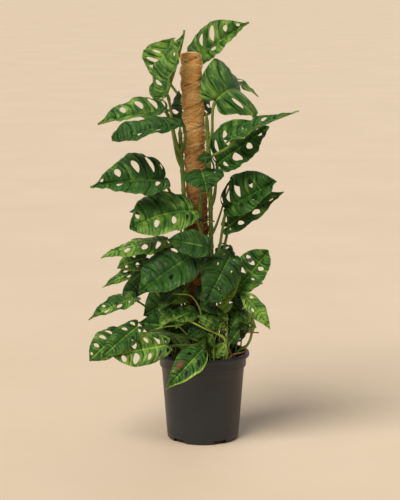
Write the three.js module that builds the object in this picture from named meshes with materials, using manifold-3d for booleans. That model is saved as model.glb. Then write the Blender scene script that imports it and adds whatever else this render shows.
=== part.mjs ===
// A Swiss cheese plant (Monstera adansonii) that climbs a coir pole in a black nursery pot.
// Units are millimetres and +Z is up. The origin is the centre of the pot's underside, and -Y is the
// front. Every leaf blade is a solid of its own, and a vine is one solid with all its leaf stalks.
import * as THREE from 'three';
import { mergeVertices } from 'three/addons/utils/BufferGeometryUtils.js';
import Module from 'manifold-3d';

const wasm = await Module();
wasm.setup();

// ---- Driving dimensions ----------------------------------------------------------------------

const GAP = 0.3; // clearance between neighbouring pieces
const MERGE_DISTANCE = 1e-3;

const POT_HEIGHT = 180;
const POT_RIM_RADIUS = 95;
const POT_BASE_RADIUS = 73;
const POT_SHOULDER_RADIUS = 84.5; // top of the tapered wall, below the stacking band
const POT_BAND_RADIUS = 88;
const POT_BAND_HEIGHT = 27; // from the underside of the band to the rim
const POT_LIP_HEIGHT = 9;
const POT_WALL = 2.2;
const POT_FLOOR = 3;
const POT_SIDES = 28;
const DRAIN_COUNT = 5;
const DRAIN_WIDTH = 28;
const DRAIN_HEIGHT = 8;
const DRAIN_TURN = 29; // degrees from the front to the first drainage notch

const SOIL_LEVEL = 167;
const SOIL_RELIEF = 2.2;
const STEM_ROOM = 1.6; // between a stem and the wall of its hole in the soil
const HOLE_TOP = SOIL_LEVEL + 20; // every hole is cut from here down

const POLE_FOOT = new THREE.Vector3(7.5, 0, 6);
const POLE_TOP = new THREE.Vector3(-24.5, 0, 786);
const STAKE_RADIUS = 9;
const COIR_RADIUS = 20.5;
const COIR_FOOT = 70; // the wrap starts inside the soil
const COIR_COVER = 6; // coir above the end of the stake
const COIR_SIDES = 15;
const COIR_STEP = 22; // height between rings of corners
const COIR_CHAMFER = 4;
const WINDING_PITCH = 30; // rise of the coir's winding in one turn
const WINDING_RELIEF = 1.1;
const SWELL_RELIEF = 0.7;
const COIR_RELIEF = 2.6; // the most that the uneven coir stands out past its radius

const VINE_RADIUS = 4.8;
const VINE_FOOT = 96; // lowest point of the rooted stems, inside the soil
const VINE_DISTANCE = 30; // from the pole's axis to a vine's axis
const STALK_RADIUS = 3;
const THIN_STALK_RADIUS = 2;
const STALK_GAP = 1; // between the end of a stalk and the underside of its blade
const STALK_LEAVING = 0.35; // parts of a stalk's length that keep its first and its last direction
const STALK_ARRIVING = 0.3;
const SMALL_LEAF_WIDTH = 56; // narrower blades have thin stalks
const STALK_STEP = 42; // length of a straight piece of a stalk
const VINE_STEP = 45;
const BLADE_THICKNESS = 1;
const VEIN_STRIPS = 7; // strips between lateral veins on each half of a blade
const LARGE_HOLE = 0.8; // holes from this size up have six corners, and smaller ones five

const SHOOT_RADIUS = 1.8;
const SHOOT_STALK_RADIUS = 1.3;
const SHOOT_STRIPS = 5;

const TIE_RADIUS = 0.9;
const TIE_SLACK = 1.7; // between a tie's cord and the vine that it crosses
const TIE_SIDES = 24;

const POT_BLACK = 0x35332f;
const SOIL_BROWN = 0x33271d;
const STAKE_WOOD = 0xa98a5e;
const COIR_BROWN = 0xb07a45;
const VINE_GREEN = 0x7fa04a;
const SHOOT_GREEN = 0x8fb455;
const LEAF_GREEN = 0x2f6b2a;
const TIE_GREEN = 0x2f5a3c;
const TIE_YELLOW = 0xc9b25c;
const ROOT_BROWN = 0x6b4630;

// ---- The plant, leaf by leaf -----------------------------------------------------------------

// base and tip are the two ends of the midrib, and face is the way that the upper surface looks.
// stem names the vine and the height at which the stalk leaves it. Angles are degrees: arch is the
// bend of the midrib, fold lifts the left and right halves, and cup turns their edges down again.
// wave is the height of the margin's waves, and holes gives, for the left and right halves, the
// size of the hole in each strip between lateral veins, from 0 for none to 1. via is a point that
// the stalk heads for first, where it has to pass between other leaves.
const LEAVES = [
  { name: 'leaf_crown_right', base: [-6, 74, 777], tip: [92, 10, 846],
    face: [-0.25, -0.8, 0.5], width: 94, stem: ['vine_back', 690],
    fold: [20, 36], arch: 8, cup: 15, wave: 2, taper: 1.0, lobe: 0.22,
    holes: [[0, 0.6, 0.9, 0.4, 0.5], [0, 0, 0.6, 0, 0]] },
  { name: 'leaf_crown_left', base: [-73, -40, 706], tip: [-36, -20, 832],
    face: [-0.77, -0.64, 0.1], width: 92, stem: ['vine_left', 585],
    fold: [30, 44], arch: 12, cup: 12, wave: 5, phase: 2, sweep: -9, taper: 1.3, lobe: 0.12,
    holes: [[0, 0.4, 0, 0.5, 0], [0, 0, 0, 0, 0]] },
  { name: 'leaf_crown_round', base: [-75, 60, 738], tip: [-62, 86, 806],
    face: [-0.15, -0.95, 0.2], width: 112, stem: ['vine_back', 640],
    fold: [6, 80], arch: 20, cup: 20, wave: 2, taper: -0.2, lobe: 0.16,
    holes: [[0.3, 0.6, 0.8, 0.3, 0], [0, 0, 0, 0, 0]] },
  { name: 'leaf_crown_back', base: [48, 100, 732], tip: [114, 100, 691],
    face: [0.15, -0.3, 1], width: 40, stem: ['vine_back', 715],
    fold: [15, 15], arch: 16, strips: 5,
    holes: [[0.7, 0.8, 0], [0.7, 0.4, 0]] },
  { name: 'leaf_upper_left_high', base: [-74, 12, 670], tip: [-210, -6, 644],
    face: [-0.05, -0.78, 0.62], width: 80, stem: ['vine_left', 560],
    fold: [56, 12], arch: 22, cup: 25, wave: 5, taper: 0.6, lobe: 0.06,
    holes: [[0.4, 0.5, 0.3, 0, 0], [0.5, 1, 0.6, 0.5, 0]] },
  { name: 'leaf_upper_left_front', base: [-38, -58, 648], tip: [-178, -78, 619],
    face: [0, -0.7, 0.7], width: 74, stem: ['vine_left', 590],
    fold: [46, 6], arch: 24, cup: 25, wave: 4, taper: -0.4, lobe: 0.02, via: [-34, -52, 610],
    holes: [[0.3, 0.6, 0.5, 0.7, 0], [0.3, 0.3, 0, 0, 0]] },
  { name: 'leaf_upper_left_back', base: [-40, 36, 645], tip: [-49, 46, 708],
    face: [-0.6, -0.7, 0.3], width: 46, stem: ['vine_back', 560],
    arch: 30, strips: 5,
    holes: [[0.7, 0.8, 0], [0.7, 0.4, 0]] },
  { name: 'leaf_middle_left_high', base: [-78, -34, 537], tip: [-223, -66, 526],
    face: [-0.1, -0.86, 0.5], width: 128, stem: ['vine_left', 440],
    fold: [50, 5], arch: 26, cup: 22, wave: 4, taper: 1.2, lobe: 0.05,
    holes: [[0, 0.5, 0, 0.6, 0], [0.1, 0.7, 0.5, 0.5, 0.3]] },
  { name: 'leaf_middle_left_front', base: [-20, -56, 477], tip: [-144, -84, 444],
    face: [-0.1, -0.86, 0.5], width: 112, stem: ['vine_front', 400],
    fold: [36, 5], arch: 24, cup: 28, wave: 4, sweep: -8, taper: 0.05, lobe: 0.08,
    holes: [[0.3, 0.3, 0.4, 0.5, 0], [0.2, 0, 0, 0, 0.5]] },
  { name: 'leaf_middle_left_behind', base: [-56, -36, 480], tip: [-147, -46, 473],
    face: [0, -0.8, 0.6], width: 50, stem: ['vine_left', 400],
    strips: 5,
    holes: [[0.5, 0.8, 0], [0.5, 0, 0]] },
  { name: 'leaf_middle_left_low', base: [-76, -38, 417], tip: [-202, -80, 386],
    face: [0, -0.5, 0.87], width: 70, stem: ['vine_left', 300],
    fold: [6, -18], arch: 30, cup: 20, wave: 4, taper: 0.9,
    holes: [[0.4, 0.8, 0.7, 0.6, 0.3], [0.4, 0.8, 0.6, 0.3, 0]] },
  { name: 'leaf_middle_left_back', base: [-40, 42, 468], tip: [-100, 110, 462],
    face: [-0.4, 0.6, 0.7], width: 70, stem: ['vine_back', 400],
    arch: 35, strips: 5,
    holes: [[0.7, 0.8, 0], [0.7, 0.4, 0]] },
  { name: 'leaf_middle_left_small', base: [-115, -20, 376], tip: [-173, -36, 358],
    face: [0, -0.7, 0.7], width: 52, stem: ['vine_left', 265],
    wave: 2, strips: 5,
    holes: [[0, 0.6, 0.4], [0, 0.5, 0]] },
  { name: 'leaf_centre_left_low', base: [-14, -66, 394], tip: [-127, -96, 318],
    face: [-0.1, -0.8, 0.6], width: 112, stem: ['vine_front', 290],
    fold: [30, 8], arch: 26, cup: 30, wave: 5, taper: 0.5, strips: 6,
    holes: [[0.3, 0, 0.2, 0], [0, 0.2, 0, 0]] },
  { name: 'leaf_centre_front_low', base: [10, -106, 412], tip: [-72, -120, 429],
    face: [0, -0.8, 0.6], width: 58, stem: ['vine_front', 374],
    fold: [14, 18], arch: 18, cup: 25, wave: 4, strips: 6,
    holes: [[0, 0, 0, 0], [0, 0.5, 0, 0]] },
  { name: 'leaf_centre_bright', base: [-3, -68, 557], tip: [8, -114, 517],
    face: [0, -0.6, 0.8], width: 84, stem: ['vine_front', 470],
    fold: [4, 4], arch: 50, cup: 15, wave: 2, taper: 1.6, lobe: 0.14, strips: 6,
    holes: [[0.2, 0.3, 0, 0], [0.4, 0, 0, 0]] },
  { name: 'leaf_centre_dark', base: [14, -80, 587], tip: [-12, -82, 582],
    face: [0.1, -0.7, 0.7], width: 26, stem: ['vine_right', 535],
    wave: 2, strips: 5,
    holes: [[0, 0.3, 0], [0, 0, 0]] },
  { name: 'leaf_centre_hanging', base: [53, -84, 389], tip: [2, -114, 298],
    face: [0.25, -0.9, 0.35], width: 74, stem: ['vine_right', 300],
    fold: [16, 10], arch: 16, cup: 25, strips: 6,
    holes: [[0.4, 0.3, 0, 0], [0.5, 0.3, 0, 0]] },
  { name: 'leaf_centre_behind', base: [31, 18, 390], tip: [67, 12, 368],
    face: [0.1, -0.5, 0.8], width: 44, stem: ['vine_right', 310],
    strips: 5,
    holes: [[0.3, 0.4, 0], [0.5, 0.3, 0]] },
  { name: 'leaf_upper_right_heart', base: [26, -32, 695], tip: [75, 55, 684],
    face: [0.3, -0.45, 0.8], width: 144, stem: ['vine_right', 600],
    fold: [22, -12], arch: 120, cup: 8, wave: 3, sweep: 2, taper: -0.1, lobe: 0.16, strips: 6,
    holes: [[0, 0, 0, 0], [0, 0.5, 0, 0]] },
  { name: 'leaf_upper_right_wide', base: [29, -34, 569], tip: [130, -54, 645],
    face: [0.1, -0.92, 0.3], width: 116, stem: ['vine_right', 480],
    fold: [12, 58], arch: 14, cup: 16, wave: 4, taper: 0.35, lobe: 0.03,
    holes: [[1, 0.5, 0.7, 0.8, 0.3], [0.8, 0.5, 1, 0.6, 0.6]] },
  { name: 'leaf_upper_right_edge', base: [56, -100, 623], tip: [186, -104, 680],
    face: [0.03, -0.1, 1], width: 64, stem: ['vine_right', 552],
    fold: [34, 14], arch: 10, cup: 15, wave: 4, taper: 1.6, lobe: 0.14, strips: 6, via: [-18, -66, 588],
    holes: [[0.3, 0.4, 0.3, 0], [0.3, 0.4, 0, 0]] },
  { name: 'leaf_upper_right_hidden', base: [-6, 32, 672], tip: [2, 88, 706],
    face: [0.5, 0.6, 0.6], width: 60, stem: ['vine_back', 590],
    arch: 35, strips: 5,
    holes: [[0.7, 0.8, 0], [0.7, 0.4, 0]] },
  { name: 'leaf_middle_right_high', base: [46, -44, 480], tip: [145, -80, 539],
    face: [0.1, -0.95, 0.25], width: 100, stem: ['vine_right', 350],
    fold: [6, 66], arch: 14, cup: 20, wave: 4, taper: 0.1, lobe: 0.04,
    holes: [[0.6, 0.9, 1, 0.5, 0], [0.4, 0, 0.5, 0.9, 0]] },
  { name: 'leaf_middle_right_behind', base: [60, 20, 528], tip: [120, 14, 535],
    face: [0.1, -0.85, 0.5], width: 30, stem: ['vine_right', 420],
    arch: 18, strips: 6,
    holes: [[0.4, 0.6, 0.5, 0], [0.4, 0.4, 0, 0]] },
  { name: 'leaf_middle_right_low', base: [50, -20, 440], tip: [161, -44, 514],
    face: [0.1, -0.7, 0.7], width: 66, stem: ['vine_right', 325],
    fold: [14, 24], arch: 16, cup: 20, strips: 6,
    holes: [[0.4, 0.5, 0.3, 0], [0.4, 0.6, 0.7, 0.5]] },
  { name: 'leaf_middle_right_back', base: [-4, 44, 498], tip: [-8, 100, 512],
    face: [0.5, 0.6, 0.7], width: 42, stem: ['vine_back', 430],
    arch: 35, strips: 5,
    holes: [[0.7, 0.8, 0], [0.7, 0.4, 0]] },
  { name: 'leaf_lower_right', base: [72, -52, 319], tip: [131, -44, 396],
    face: [0.15, -0.95, 0.3], width: 76, stem: ['vine_side', 235],
    fold: [10, 56], arch: 10, cup: 20, wave: 4, taper: 0.05,
    holes: [[0.2, 0.4, 0.7, 1, 0], [0, 0, 0.3, 0.6, 0]] },
  { name: 'leaf_lower_right_tip', base: [87, -80, 306], tip: [133, -104, 247],
    face: [0.3, -0.85, 0.45], width: 40, stem: ['vine_side', 262],
    fold: [60, 20], arch: 20, strips: 5,
    holes: [[0.5, 0, 0], [0.5, 0.4, 0]] },
  { name: 'leaf_lower_right_back', base: [39, 50, 330], tip: [112, 112, 350],
    face: [0.4, 0.5, 0.75], width: 88, stem: ['vine_back', 260],
    arch: 30, strips: 5,
    holes: [[0.7, 0.8, 0], [0.7, 0.4, 0]] },
  { name: 'leaf_lower_left_high', base: [-123, -20, 353], tip: [-202, -50, 321],
    face: [0, -0.55, 0.85], width: 34, stem: ['vine_left', 240],
    taper: 1.1, strips: 5,
    holes: [[0.4, 0.4, 0], [0.4, 0.3, 0]] },
  { name: 'leaf_lower_left_dark', base: [-108, 10, 334], tip: [-167, -4, 287],
    face: [-0.1, -0.85, 0.5], width: 48, stem: ['vine_back', 225],
    strips: 5,
    holes: [[0.5, 0.3, 0], [0.4, 0, 0]] },
  { name: 'leaf_lower_left_mid', base: [-138, -56, 301], tip: [-227, -90, 263],
    face: [-0.05, -0.6, 0.8], width: 55, stem: ['vine_left', 205],
    fold: [30, 4], arch: 24, cup: 20, wave: 3, taper: 0.9, via: [-112, 66, 250],
    holes: [[0, 0.3, 0.9, 1, 0], [0, 0.3, 0, 0.3, 0]] },
  { name: 'leaf_lower_left_front', base: [-130, -112, 254], tip: [-201, -138, 195],
    face: [-0.1, -0.85, 0.5], width: 48, stem: ['vine_low', 205],
    fold: [10, 24], cup: 25, wave: 4, strips: 6,
    holes: [[0.5, 0.3, 0, 0], [0.6, 0.4, 0, 0]] },
  { name: 'leaf_lower_left_edge', base: [-168, -62, 229], tip: [-227, -84, 178],
    face: [-0.25, -0.85, 0.45], width: 64, stem: ['vine_low', 215],
    fold: [12, 12], arch: 16, cup: 20, wave: 4, taper: 0.5,
    holes: [[0, 0.3, 0.3, 0, 0], [0, 0.8, 0.5, 0.6, 0.4]] },
  { name: 'leaf_lower_left_open', base: [-73, -104, 215], tip: [-177, -130, 199],
    face: [0, -0.9, 0.4], width: 66, stem: ['vine_low', 196],
    fold: [10, 10], arch: 18, cup: 20, wave: 3, taper: 0,
    holes: [[0.7, 0.5, 0.4, 1, 1], [0.6, 1, 0.3, 1, 0.4]] },
  { name: 'leaf_lower_left_inner', base: [-58, -30, 295], tip: [-121, -34, 260],
    face: [-0.1, -0.95, 0.25], width: 76, stem: ['vine_left', 205],
    arch: 10, strips: 5,
    holes: [[0.4, 0.3, 0], [0.5, 0, 0]] },
  { name: 'leaf_lower_left_shade', base: [-46, -52, 240], tip: [-131, -52, 250],
    face: [0, -1, 0.1], width: 60, stem: ['vine_front', 205],
    fold: [10, 6], arch: 12, strips: 5,
    holes: [[0.4, 0, 0], [0.5, 0, 0]] },
  { name: 'leaf_over_pot', base: [0, -114, 210], tip: [-76, -134, 129],
    face: [-0.25, -0.9, 0.3], width: 56, stem: ['vine_front', 225],
    fold: [8, 30], arch: 14, wave: 4, taper: 1.2, lobe: 0.03, strips: 6,
    holes: [[0.6, 0.5, 0.4, 0], [0.5, 0.3, 0, 0]] },
];
const LEAF_DEFAULTS = {
  fold: [12, 12], arch: 20, cup: 20, wave: 3, phase: 0, sweep: 0, taper: 0.75, lobe: 0.12,
};

// Vines on the pole: the side of the pole they climb, in degrees from the front towards +X, how
// far they swing about it, and where they end.
const CLIMBERS = [
  { name: 'vine_left', angle: -62, swing: 6, top: 642 },
  { name: 'vine_right', angle: 62, swing: 6, top: 668 },
  { name: 'vine_front', angle: 8, swing: 5, top: 480 },
  { name: 'vine_back', angle: 178, swing: 8, top: 725 },
];

// Creeping vines leave the soil beside the pole and bend over the pot.
const CREEPERS = [
  { name: 'vine_low', radius: 3,
    path: [[2, -56, 96], [2, -56, 172], [-2, -58, 184], [-18, -66, 200], [-44, -78, 216]] },
  { name: 'vine_side', radius: 3,
    path: [[62, -40, 96], [62, -40, 150], [63, -40, 176], [71, -43, 190], [88, -50, 202], [97, -56, 224],
      [97, -60, 248], [90, -66, 272]] },
];

// Young shoots: a thin stem from the soil, with small plain blades that have no holes yet.
const SHOOTS = [
  { name: 'shoot_tall',
    path: [[48, -54, 130], [48, -54, 172], [48, -56, 236], [46, -58, 273], [44, -60, 292]],
    leaves: [
      { base: [42, -62, 298], tip: [76, -72, 349], face: [-0.3, -0.9, 0.35], width: 36,
        fold: [36, 36], stem: ['shoot_tall', 288], strips: SHOOT_STRIPS, plain: true, wave: 1 },
      { base: [52, -64, 290], tip: [24, -78, 269], face: [-0.2, -0.7, 0.7], width: 26,
        stem: ['shoot_tall', 276], strips: SHOOT_STRIPS, plain: true, wave: 1 },
    ] },
  { name: 'shoot_curled',
    path: [[64, -24, 130], [64, -24, 172], [73, -28, 229], [73, -30, 259], [71, -32, 274]],
    leaves: [
      { base: [73, -32, 282], tip: [89, -30, 302], face: [0.1, -0.8, 0.6], width: 28,
        fold: [30, 30], arch: 50, stem: ['shoot_curled', 270], strips: SHOOT_STRIPS, plain: true, wave: 1 },
      { base: [71, -36, 270], tip: [50, -52, 288], face: [-0.1, -0.8, 0.6], width: 24,
        stem: ['shoot_curled', 256], strips: SHOOT_STRIPS, plain: true, wave: 1 },
    ] },
  { name: 'shoot_low',
    path: [[40, -66, 130], [40, -66, 172], [52, -68, 209], [54, -70, 222], [56, -72, 239]],
    leaves: [
      { base: [56, -74, 243], tip: [71, -82, 268], face: [-0.2, -0.9, 0.4], width: 24,
        stem: ['shoot_low', 235], strips: SHOOT_STRIPS, plain: true, wave: 1 },
      { base: [56, -76, 217], tip: [72, -88, 242], face: [0.1, -0.9, 0.4], width: 26,
        stem: ['shoot_low', 203], strips: SHOOT_STRIPS, plain: true, wave: 1 },
    ] },
  { name: 'shoot_narrow',
    path: [[74, -6, 130], [74, -6, 172], [78, -8, 200], [77, -12, 216]],
    leaves: [
      { base: [77, -14, 222], tip: [82, -20, 273], face: [0.1, -0.95, 0.2], width: 28,
        fold: [30, 30], stem: ['shoot_narrow', 212], strips: SHOOT_STRIPS, plain: true, wave: 1 },
    ] },
  { name: 'shoot_pale',
    path: [[22, -70, 130], [22, -70, 172], [22, -72, 212], [26, -76, 230], [28, -80, 243]],
    leaves: [
      { base: [26, -82, 251], tip: [-11, -94, 272], face: [0, -0.75, 0.65], width: 32,
        stem: ['shoot_pale', 239], strips: SHOOT_STRIPS, plain: true, wave: 1 },
      { base: [32, -80, 241], tip: [38, -88, 267], face: [0.2, -0.9, 0.4], width: 22,
        stem: ['shoot_pale', 226], strips: SHOOT_STRIPS, plain: true, wave: 1 },
    ] },
  { name: 'shoot_left',
    path: [[-30, -52, 130], [-30, -52, 172], [-34, -54, 215], [-38, -56, 231], [-42, -58, 248]],
    leaves: [
      { base: [-44, -66, 254], tip: [-66, -84, 284], face: [-0.2, -0.8, 0.5], width: 34,
        stem: ['shoot_left', 245], strips: SHOOT_STRIPS, plain: true, wave: 1 },
      { base: [-38, -62, 239], tip: [-14, -76, 272], face: [0.2, -0.8, 0.5], width: 34,
        stem: ['shoot_left', 224], strips: SHOOT_STRIPS, plain: true, wave: 1 },
    ] },
];

const TIES = [
  { name: 'tie_green', height: 457, holds: ['vine_front'], colour: TIE_GREEN },
  { name: 'tie_yellow', height: 450, holds: ['vine_front', 'vine_right'], colour: TIE_YELLOW },
];

const DRY_ROOTS = [
  { name: 'dry_root', radius: 1.5, rooted: true,
    path: [[48, -64, 152], [48, -64, 168], [58, -63, 185], [79, -58, 190], [90, -38, 189],
      [86, -24, 185], [78, -17, 175], [77, -16, 166], [77, -16, 152]] },
  { name: 'dead_stalk', radius: 1.4, rooted: false,
    path: [[86, -62.4, 232], [98, -62.2, 232], [112, -61.6, 231]] },
];

// ---- Solids ----------------------------------------------------------------------------------

// A closed geometry as a solid: only its places are kept, collapsed triangles are dropped, and the
// faces are turned outwards.
function toSolid(geometry) {
  const bare = geometry.clone();
  bare.deleteAttribute('normal');
  bare.deleteAttribute('uv');
  const merged = mergeVertices(bare, MERGE_DISTANCE);
  const corners = merged.getIndex().array;
  const places = merged.getAttribute('position').array;
  const kept = [];
  let volume = 0;
  const a = new THREE.Vector3();
  const b = new THREE.Vector3();
  const c = new THREE.Vector3();
  for (let i = 0; i < corners.length; i += 3) {
    const [p, q, r] = [corners[i], corners[i + 1], corners[i + 2]];
    if (p === q || q === r || r === p) continue;
    kept.push(p, q, r);
    a.fromArray(places, 3 * p);
    b.fromArray(places, 3 * q);
    c.fromArray(places, 3 * r);
    volume += a.dot(b.cross(c));
  }
  if (volume < 0) kept.reverse();
  const mesh = new wasm.Mesh({
    numProp: 3, vertProperties: Float32Array.from(places), triVerts: Uint32Array.from(kept),
  });
  return new wasm.Manifold(mesh);
}

function toGeometry(solid) {
  const mesh = solid.getMesh();
  const geometry = new THREE.BufferGeometry();
  geometry.setAttribute('position', new THREE.BufferAttribute(mesh.vertProperties, mesh.numProp));
  geometry.setIndex(new THREE.BufferAttribute(mesh.triVerts, 1));
  geometry.computeVertexNormals();
  return geometry;
}

const joined = (solids) => solids.reduce((sum, solid) => sum.add(solid));
const without = (solid, cutters) => cutters.reduce((rest, cutter) => rest.subtract(cutter), solid);

// A profile of [radius, height] corners turned about the Z axis.
function turned(profile, sides) {
  const corners = profile.map(([radius, height]) => new THREE.Vector2(radius, height));
  return new THREE.LatheGeometry(corners, sides).rotateX(Math.PI / 2);
}

// Moves every corner of a geometry to the place that a rule gives for it.
function reshaped(geometry, rule) {
  const places = geometry.getAttribute('position');
  const place = new THREE.Vector3();
  for (let i = 0; i < places.count; i += 1) {
    place.fromBufferAttribute(places, i);
    rule(place);
    places.setXYZ(i, place.x, place.y, place.z);
  }
  return geometry;
}

// A round rod along a curve.
function rod(curve, radius, sides, steps) {
  const corners = Array.from({ length: sides }, (_, i) => {
    const angle = (2 * Math.PI * i) / sides;
    return new THREE.Vector2(radius * Math.cos(angle), radius * Math.sin(angle));
  });
  const settings = { steps, bevelEnabled: false, extrudePath: curve };
  return toSolid(new THREE.ExtrudeGeometry(new THREE.Shape(corners), settings));
}

// ---- Pot and soil ----------------------------------------------------------------------------

const BAND_FOOT = POT_HEIGHT - POT_BAND_HEIGHT;
const LIP_FOOT = POT_HEIGHT - POT_LIP_HEIGHT;

// One moulded piece: a flat floor, a rounded bottom corner, the tapered wall, a straight stacking
// band and a thick rolled lip.
function potSolid() {
  const profile = [
    [0, 0],
    [POT_BASE_RADIUS - 6, 0],
    [POT_BASE_RADIUS - 1.8, 1.8],
    [POT_BASE_RADIUS, 6],
    [POT_SHOULDER_RADIUS, BAND_FOOT - 2],
    [POT_BAND_RADIUS, BAND_FOOT + 1],
    [POT_BAND_RADIUS + 0.6, LIP_FOOT - 0.5],
    [POT_RIM_RADIUS, LIP_FOOT + 1],
    [POT_RIM_RADIUS, POT_HEIGHT - 2.4],
    [POT_RIM_RADIUS - 2.2, POT_HEIGHT],
    [POT_BAND_RADIUS - 1, POT_HEIGHT],
    [POT_BAND_RADIUS - POT_WALL, POT_HEIGHT - 2],
    [POT_BAND_RADIUS - POT_WALL, BAND_FOOT + 1.4],
    [POT_SHOULDER_RADIUS - POT_WALL, BAND_FOOT - 1.6],
    [POT_BASE_RADIUS - POT_WALL, 7.5],
    [POT_BASE_RADIUS - POT_WALL - 4, POT_FLOOR],
    [0, POT_FLOOR],
  ];
  const notches = Array.from({ length: DRAIN_COUNT }, (_, i) => {
    const notch = new THREE.BoxGeometry(DRAIN_WIDTH, 16, 2 * DRAIN_HEIGHT);
    notch.translate(0, -POT_BASE_RADIUS, 0);
    notch.rotateZ(THREE.MathUtils.degToRad(DRAIN_TURN + (360 * i) / DRAIN_COUNT));
    return toSolid(notch);
  });
  return without(toSolid(turned(profile, POT_SIDES)), notches);
}

// The soil fills the pot. Its top is lumpy, and it rises a little towards the pole.
function soilSolid(stems) {
  const profile = [
    [0, POT_FLOOR + GAP],
    [POT_BASE_RADIUS - POT_WALL - 4.6, POT_FLOOR + GAP],
    [POT_BASE_RADIUS - POT_WALL - 0.5, 8],
    [POT_SHOULDER_RADIUS - POT_WALL - 0.5, BAND_FOOT - 1],
    [POT_BAND_RADIUS - POT_WALL - 0.5, BAND_FOOT + 2.4],
    [POT_BAND_RADIUS - POT_WALL - 0.5, SOIL_LEVEL - 4],
    [66, SOIL_LEVEL],
    [44, SOIL_LEVEL + 1],
    [0, SOIL_LEVEL + 2],
  ];
  const heap = reshaped(turned(profile, POT_SIDES), (place) => {
    if (place.z < SOIL_LEVEL - 0.5) return;
    place.z += SOIL_RELIEF * Math.sin(place.x / 9) * Math.cos(place.y / 8 + place.x / 17);
  });
  return without(toSolid(heap), stems);
}

// ---- Pole ------------------------------------------------------------------------------------

const poleAt = (height) => {
  const part = (height - POLE_FOOT.z) / (POLE_TOP.z - POLE_FOOT.z);
  return POLE_FOOT.clone().lerp(POLE_TOP, part).setZ(height);
};

// A point beside the pole, at an angle from the front towards +X.
function besidePole(height, degrees, distance) {
  const angle = THREE.MathUtils.degToRad(degrees);
  const place = poleAt(height);
  place.x += distance * Math.sin(angle);
  place.y -= distance * Math.cos(angle);
  return place;
}

function upright(radius, foot, top, sides) {
  const rodGeometry = new THREE.CylinderGeometry(radius, radius, top - foot, sides);
  rodGeometry.rotateX(Math.PI / 2).translate(0, 0, (foot + top) / 2);
  return toSolid(reshaped(rodGeometry, (place) => {
    const axis = poleAt(place.z);
    place.x += axis.x;
    place.y += axis.y;
  }));
}

// The coir is wound round the stake in slanting turns that rise to the right, a little uneven.
function coirSolid() {
  const straight = POLE_TOP.z - COIR_CHAMFER - COIR_FOOT;
  const rings = Math.round(straight / COIR_STEP);
  const profile = [[0, COIR_FOOT]];
  for (let i = 0; i <= rings; i += 1) profile.push([COIR_RADIUS, COIR_FOOT + (straight * i) / rings]);
  profile.push([COIR_RADIUS - COIR_CHAMFER, POLE_TOP.z], [0, POLE_TOP.z + 1]);
  const wrap = reshaped(turned(profile, COIR_SIDES), (place) => {
    const turn = Math.atan2(place.x, -place.y);
    const slant = (2 * Math.PI * place.z) / WINDING_PITCH - turn;
    const swell = Math.sin(place.z / 61 + 2 * turn) + 0.7 * Math.sin(place.z / 23 - turn);
    const relief = WINDING_RELIEF * Math.sin(slant) + SWELL_RELIEF * swell;
    const out = Math.hypot(place.x, place.y);
    const grow = out < 1 ? 1 : 1 + relief / out;
    const axis = poleAt(place.z);
    place.x = place.x * grow + axis.x;
    place.y = place.y * grow + axis.y;
  });
  const bore = upright(STAKE_RADIUS + GAP, 0, POLE_TOP.z - COIR_COVER + GAP, 12);
  return toSolid(wrap).subtract(bore);
}

// ---- Leaf blades -----------------------------------------------------------------------------

const LOBE_ANGLE = 0.4;
const DRIP_TIP = 0.05;
const DRIP_ANGLE = 0.28;
const VEIN_BOW = 0.05;
const WAVES = 2.6;
const WAVE_SHIFT = 1.7; // between the waves of the two margins
const [HOLE_LENGTH, HOLE_LENGTH_GAIN] = [0.1, 0.24]; // half sizes of the least hole and their gain
const [HOLE_WIDTH, HOLE_WIDTH_GAIN] = [0.09, 0.15];
const HOLE_POINT = 0.4; // how far the ends of a hole are drawn to a point

// The flat blade lies along +X, with its length and its half-width as units. An angle runs along
// the margin from 0 at the base to PI at the tip: an ellipse narrowed towards a drip tip, with two
// lobes drawn back past the base. A lateral vein leaves the midrib at each angle and bows to the
// margin, and reach goes from 0 on the midrib to 1 on the margin.
function veinPoint(leaf, angle, reach) {
  const widest = Math.atan(Math.sqrt(1 / (1 + leaf.taper)));
  const broad = 2 * Math.sin(widest) * Math.cos(widest) ** (1 + leaf.taper);
  const back = (angle / LOBE_ANGLE) * Math.exp((1 - (angle / LOBE_ANGLE) ** 2) / 2);
  const drip = DRIP_TIP * Math.exp(-(((Math.PI - angle) / DRIP_ANGLE) ** 2));
  const along = ((1 - Math.cos(angle)) / 2 + drip) / (1 + DRIP_TIP) - leaf.lobe * back;
  const out = (Math.sin(angle) * Math.abs(Math.cos(angle / 2)) ** leaf.taper) / broad;
  const foot = Math.max(0, Math.sin(angle / 2) ** 3 - 0.02) / 0.98;
  const bow = VEIN_BOW * 4 * reach * (1 - reach) * Math.sin(angle) * out;
  return { x: foot + (along - foot) * reach - bow, y: out * reach };
}

// Where a blade is in space: X along the chord from base to tip, Z the way it faces.
function bladeFrame(leaf) {
  const x = new THREE.Vector3().subVectors(leaf.tip, leaf.base);
  const chord = x.length();
  x.divideScalar(chord);
  const z = leaf.face.clone().addScaledVector(x, -leaf.face.dot(x)).normalize();
  const y = new THREE.Vector3().crossVectors(z, x);
  return { x, y, z, chord };
}

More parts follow.
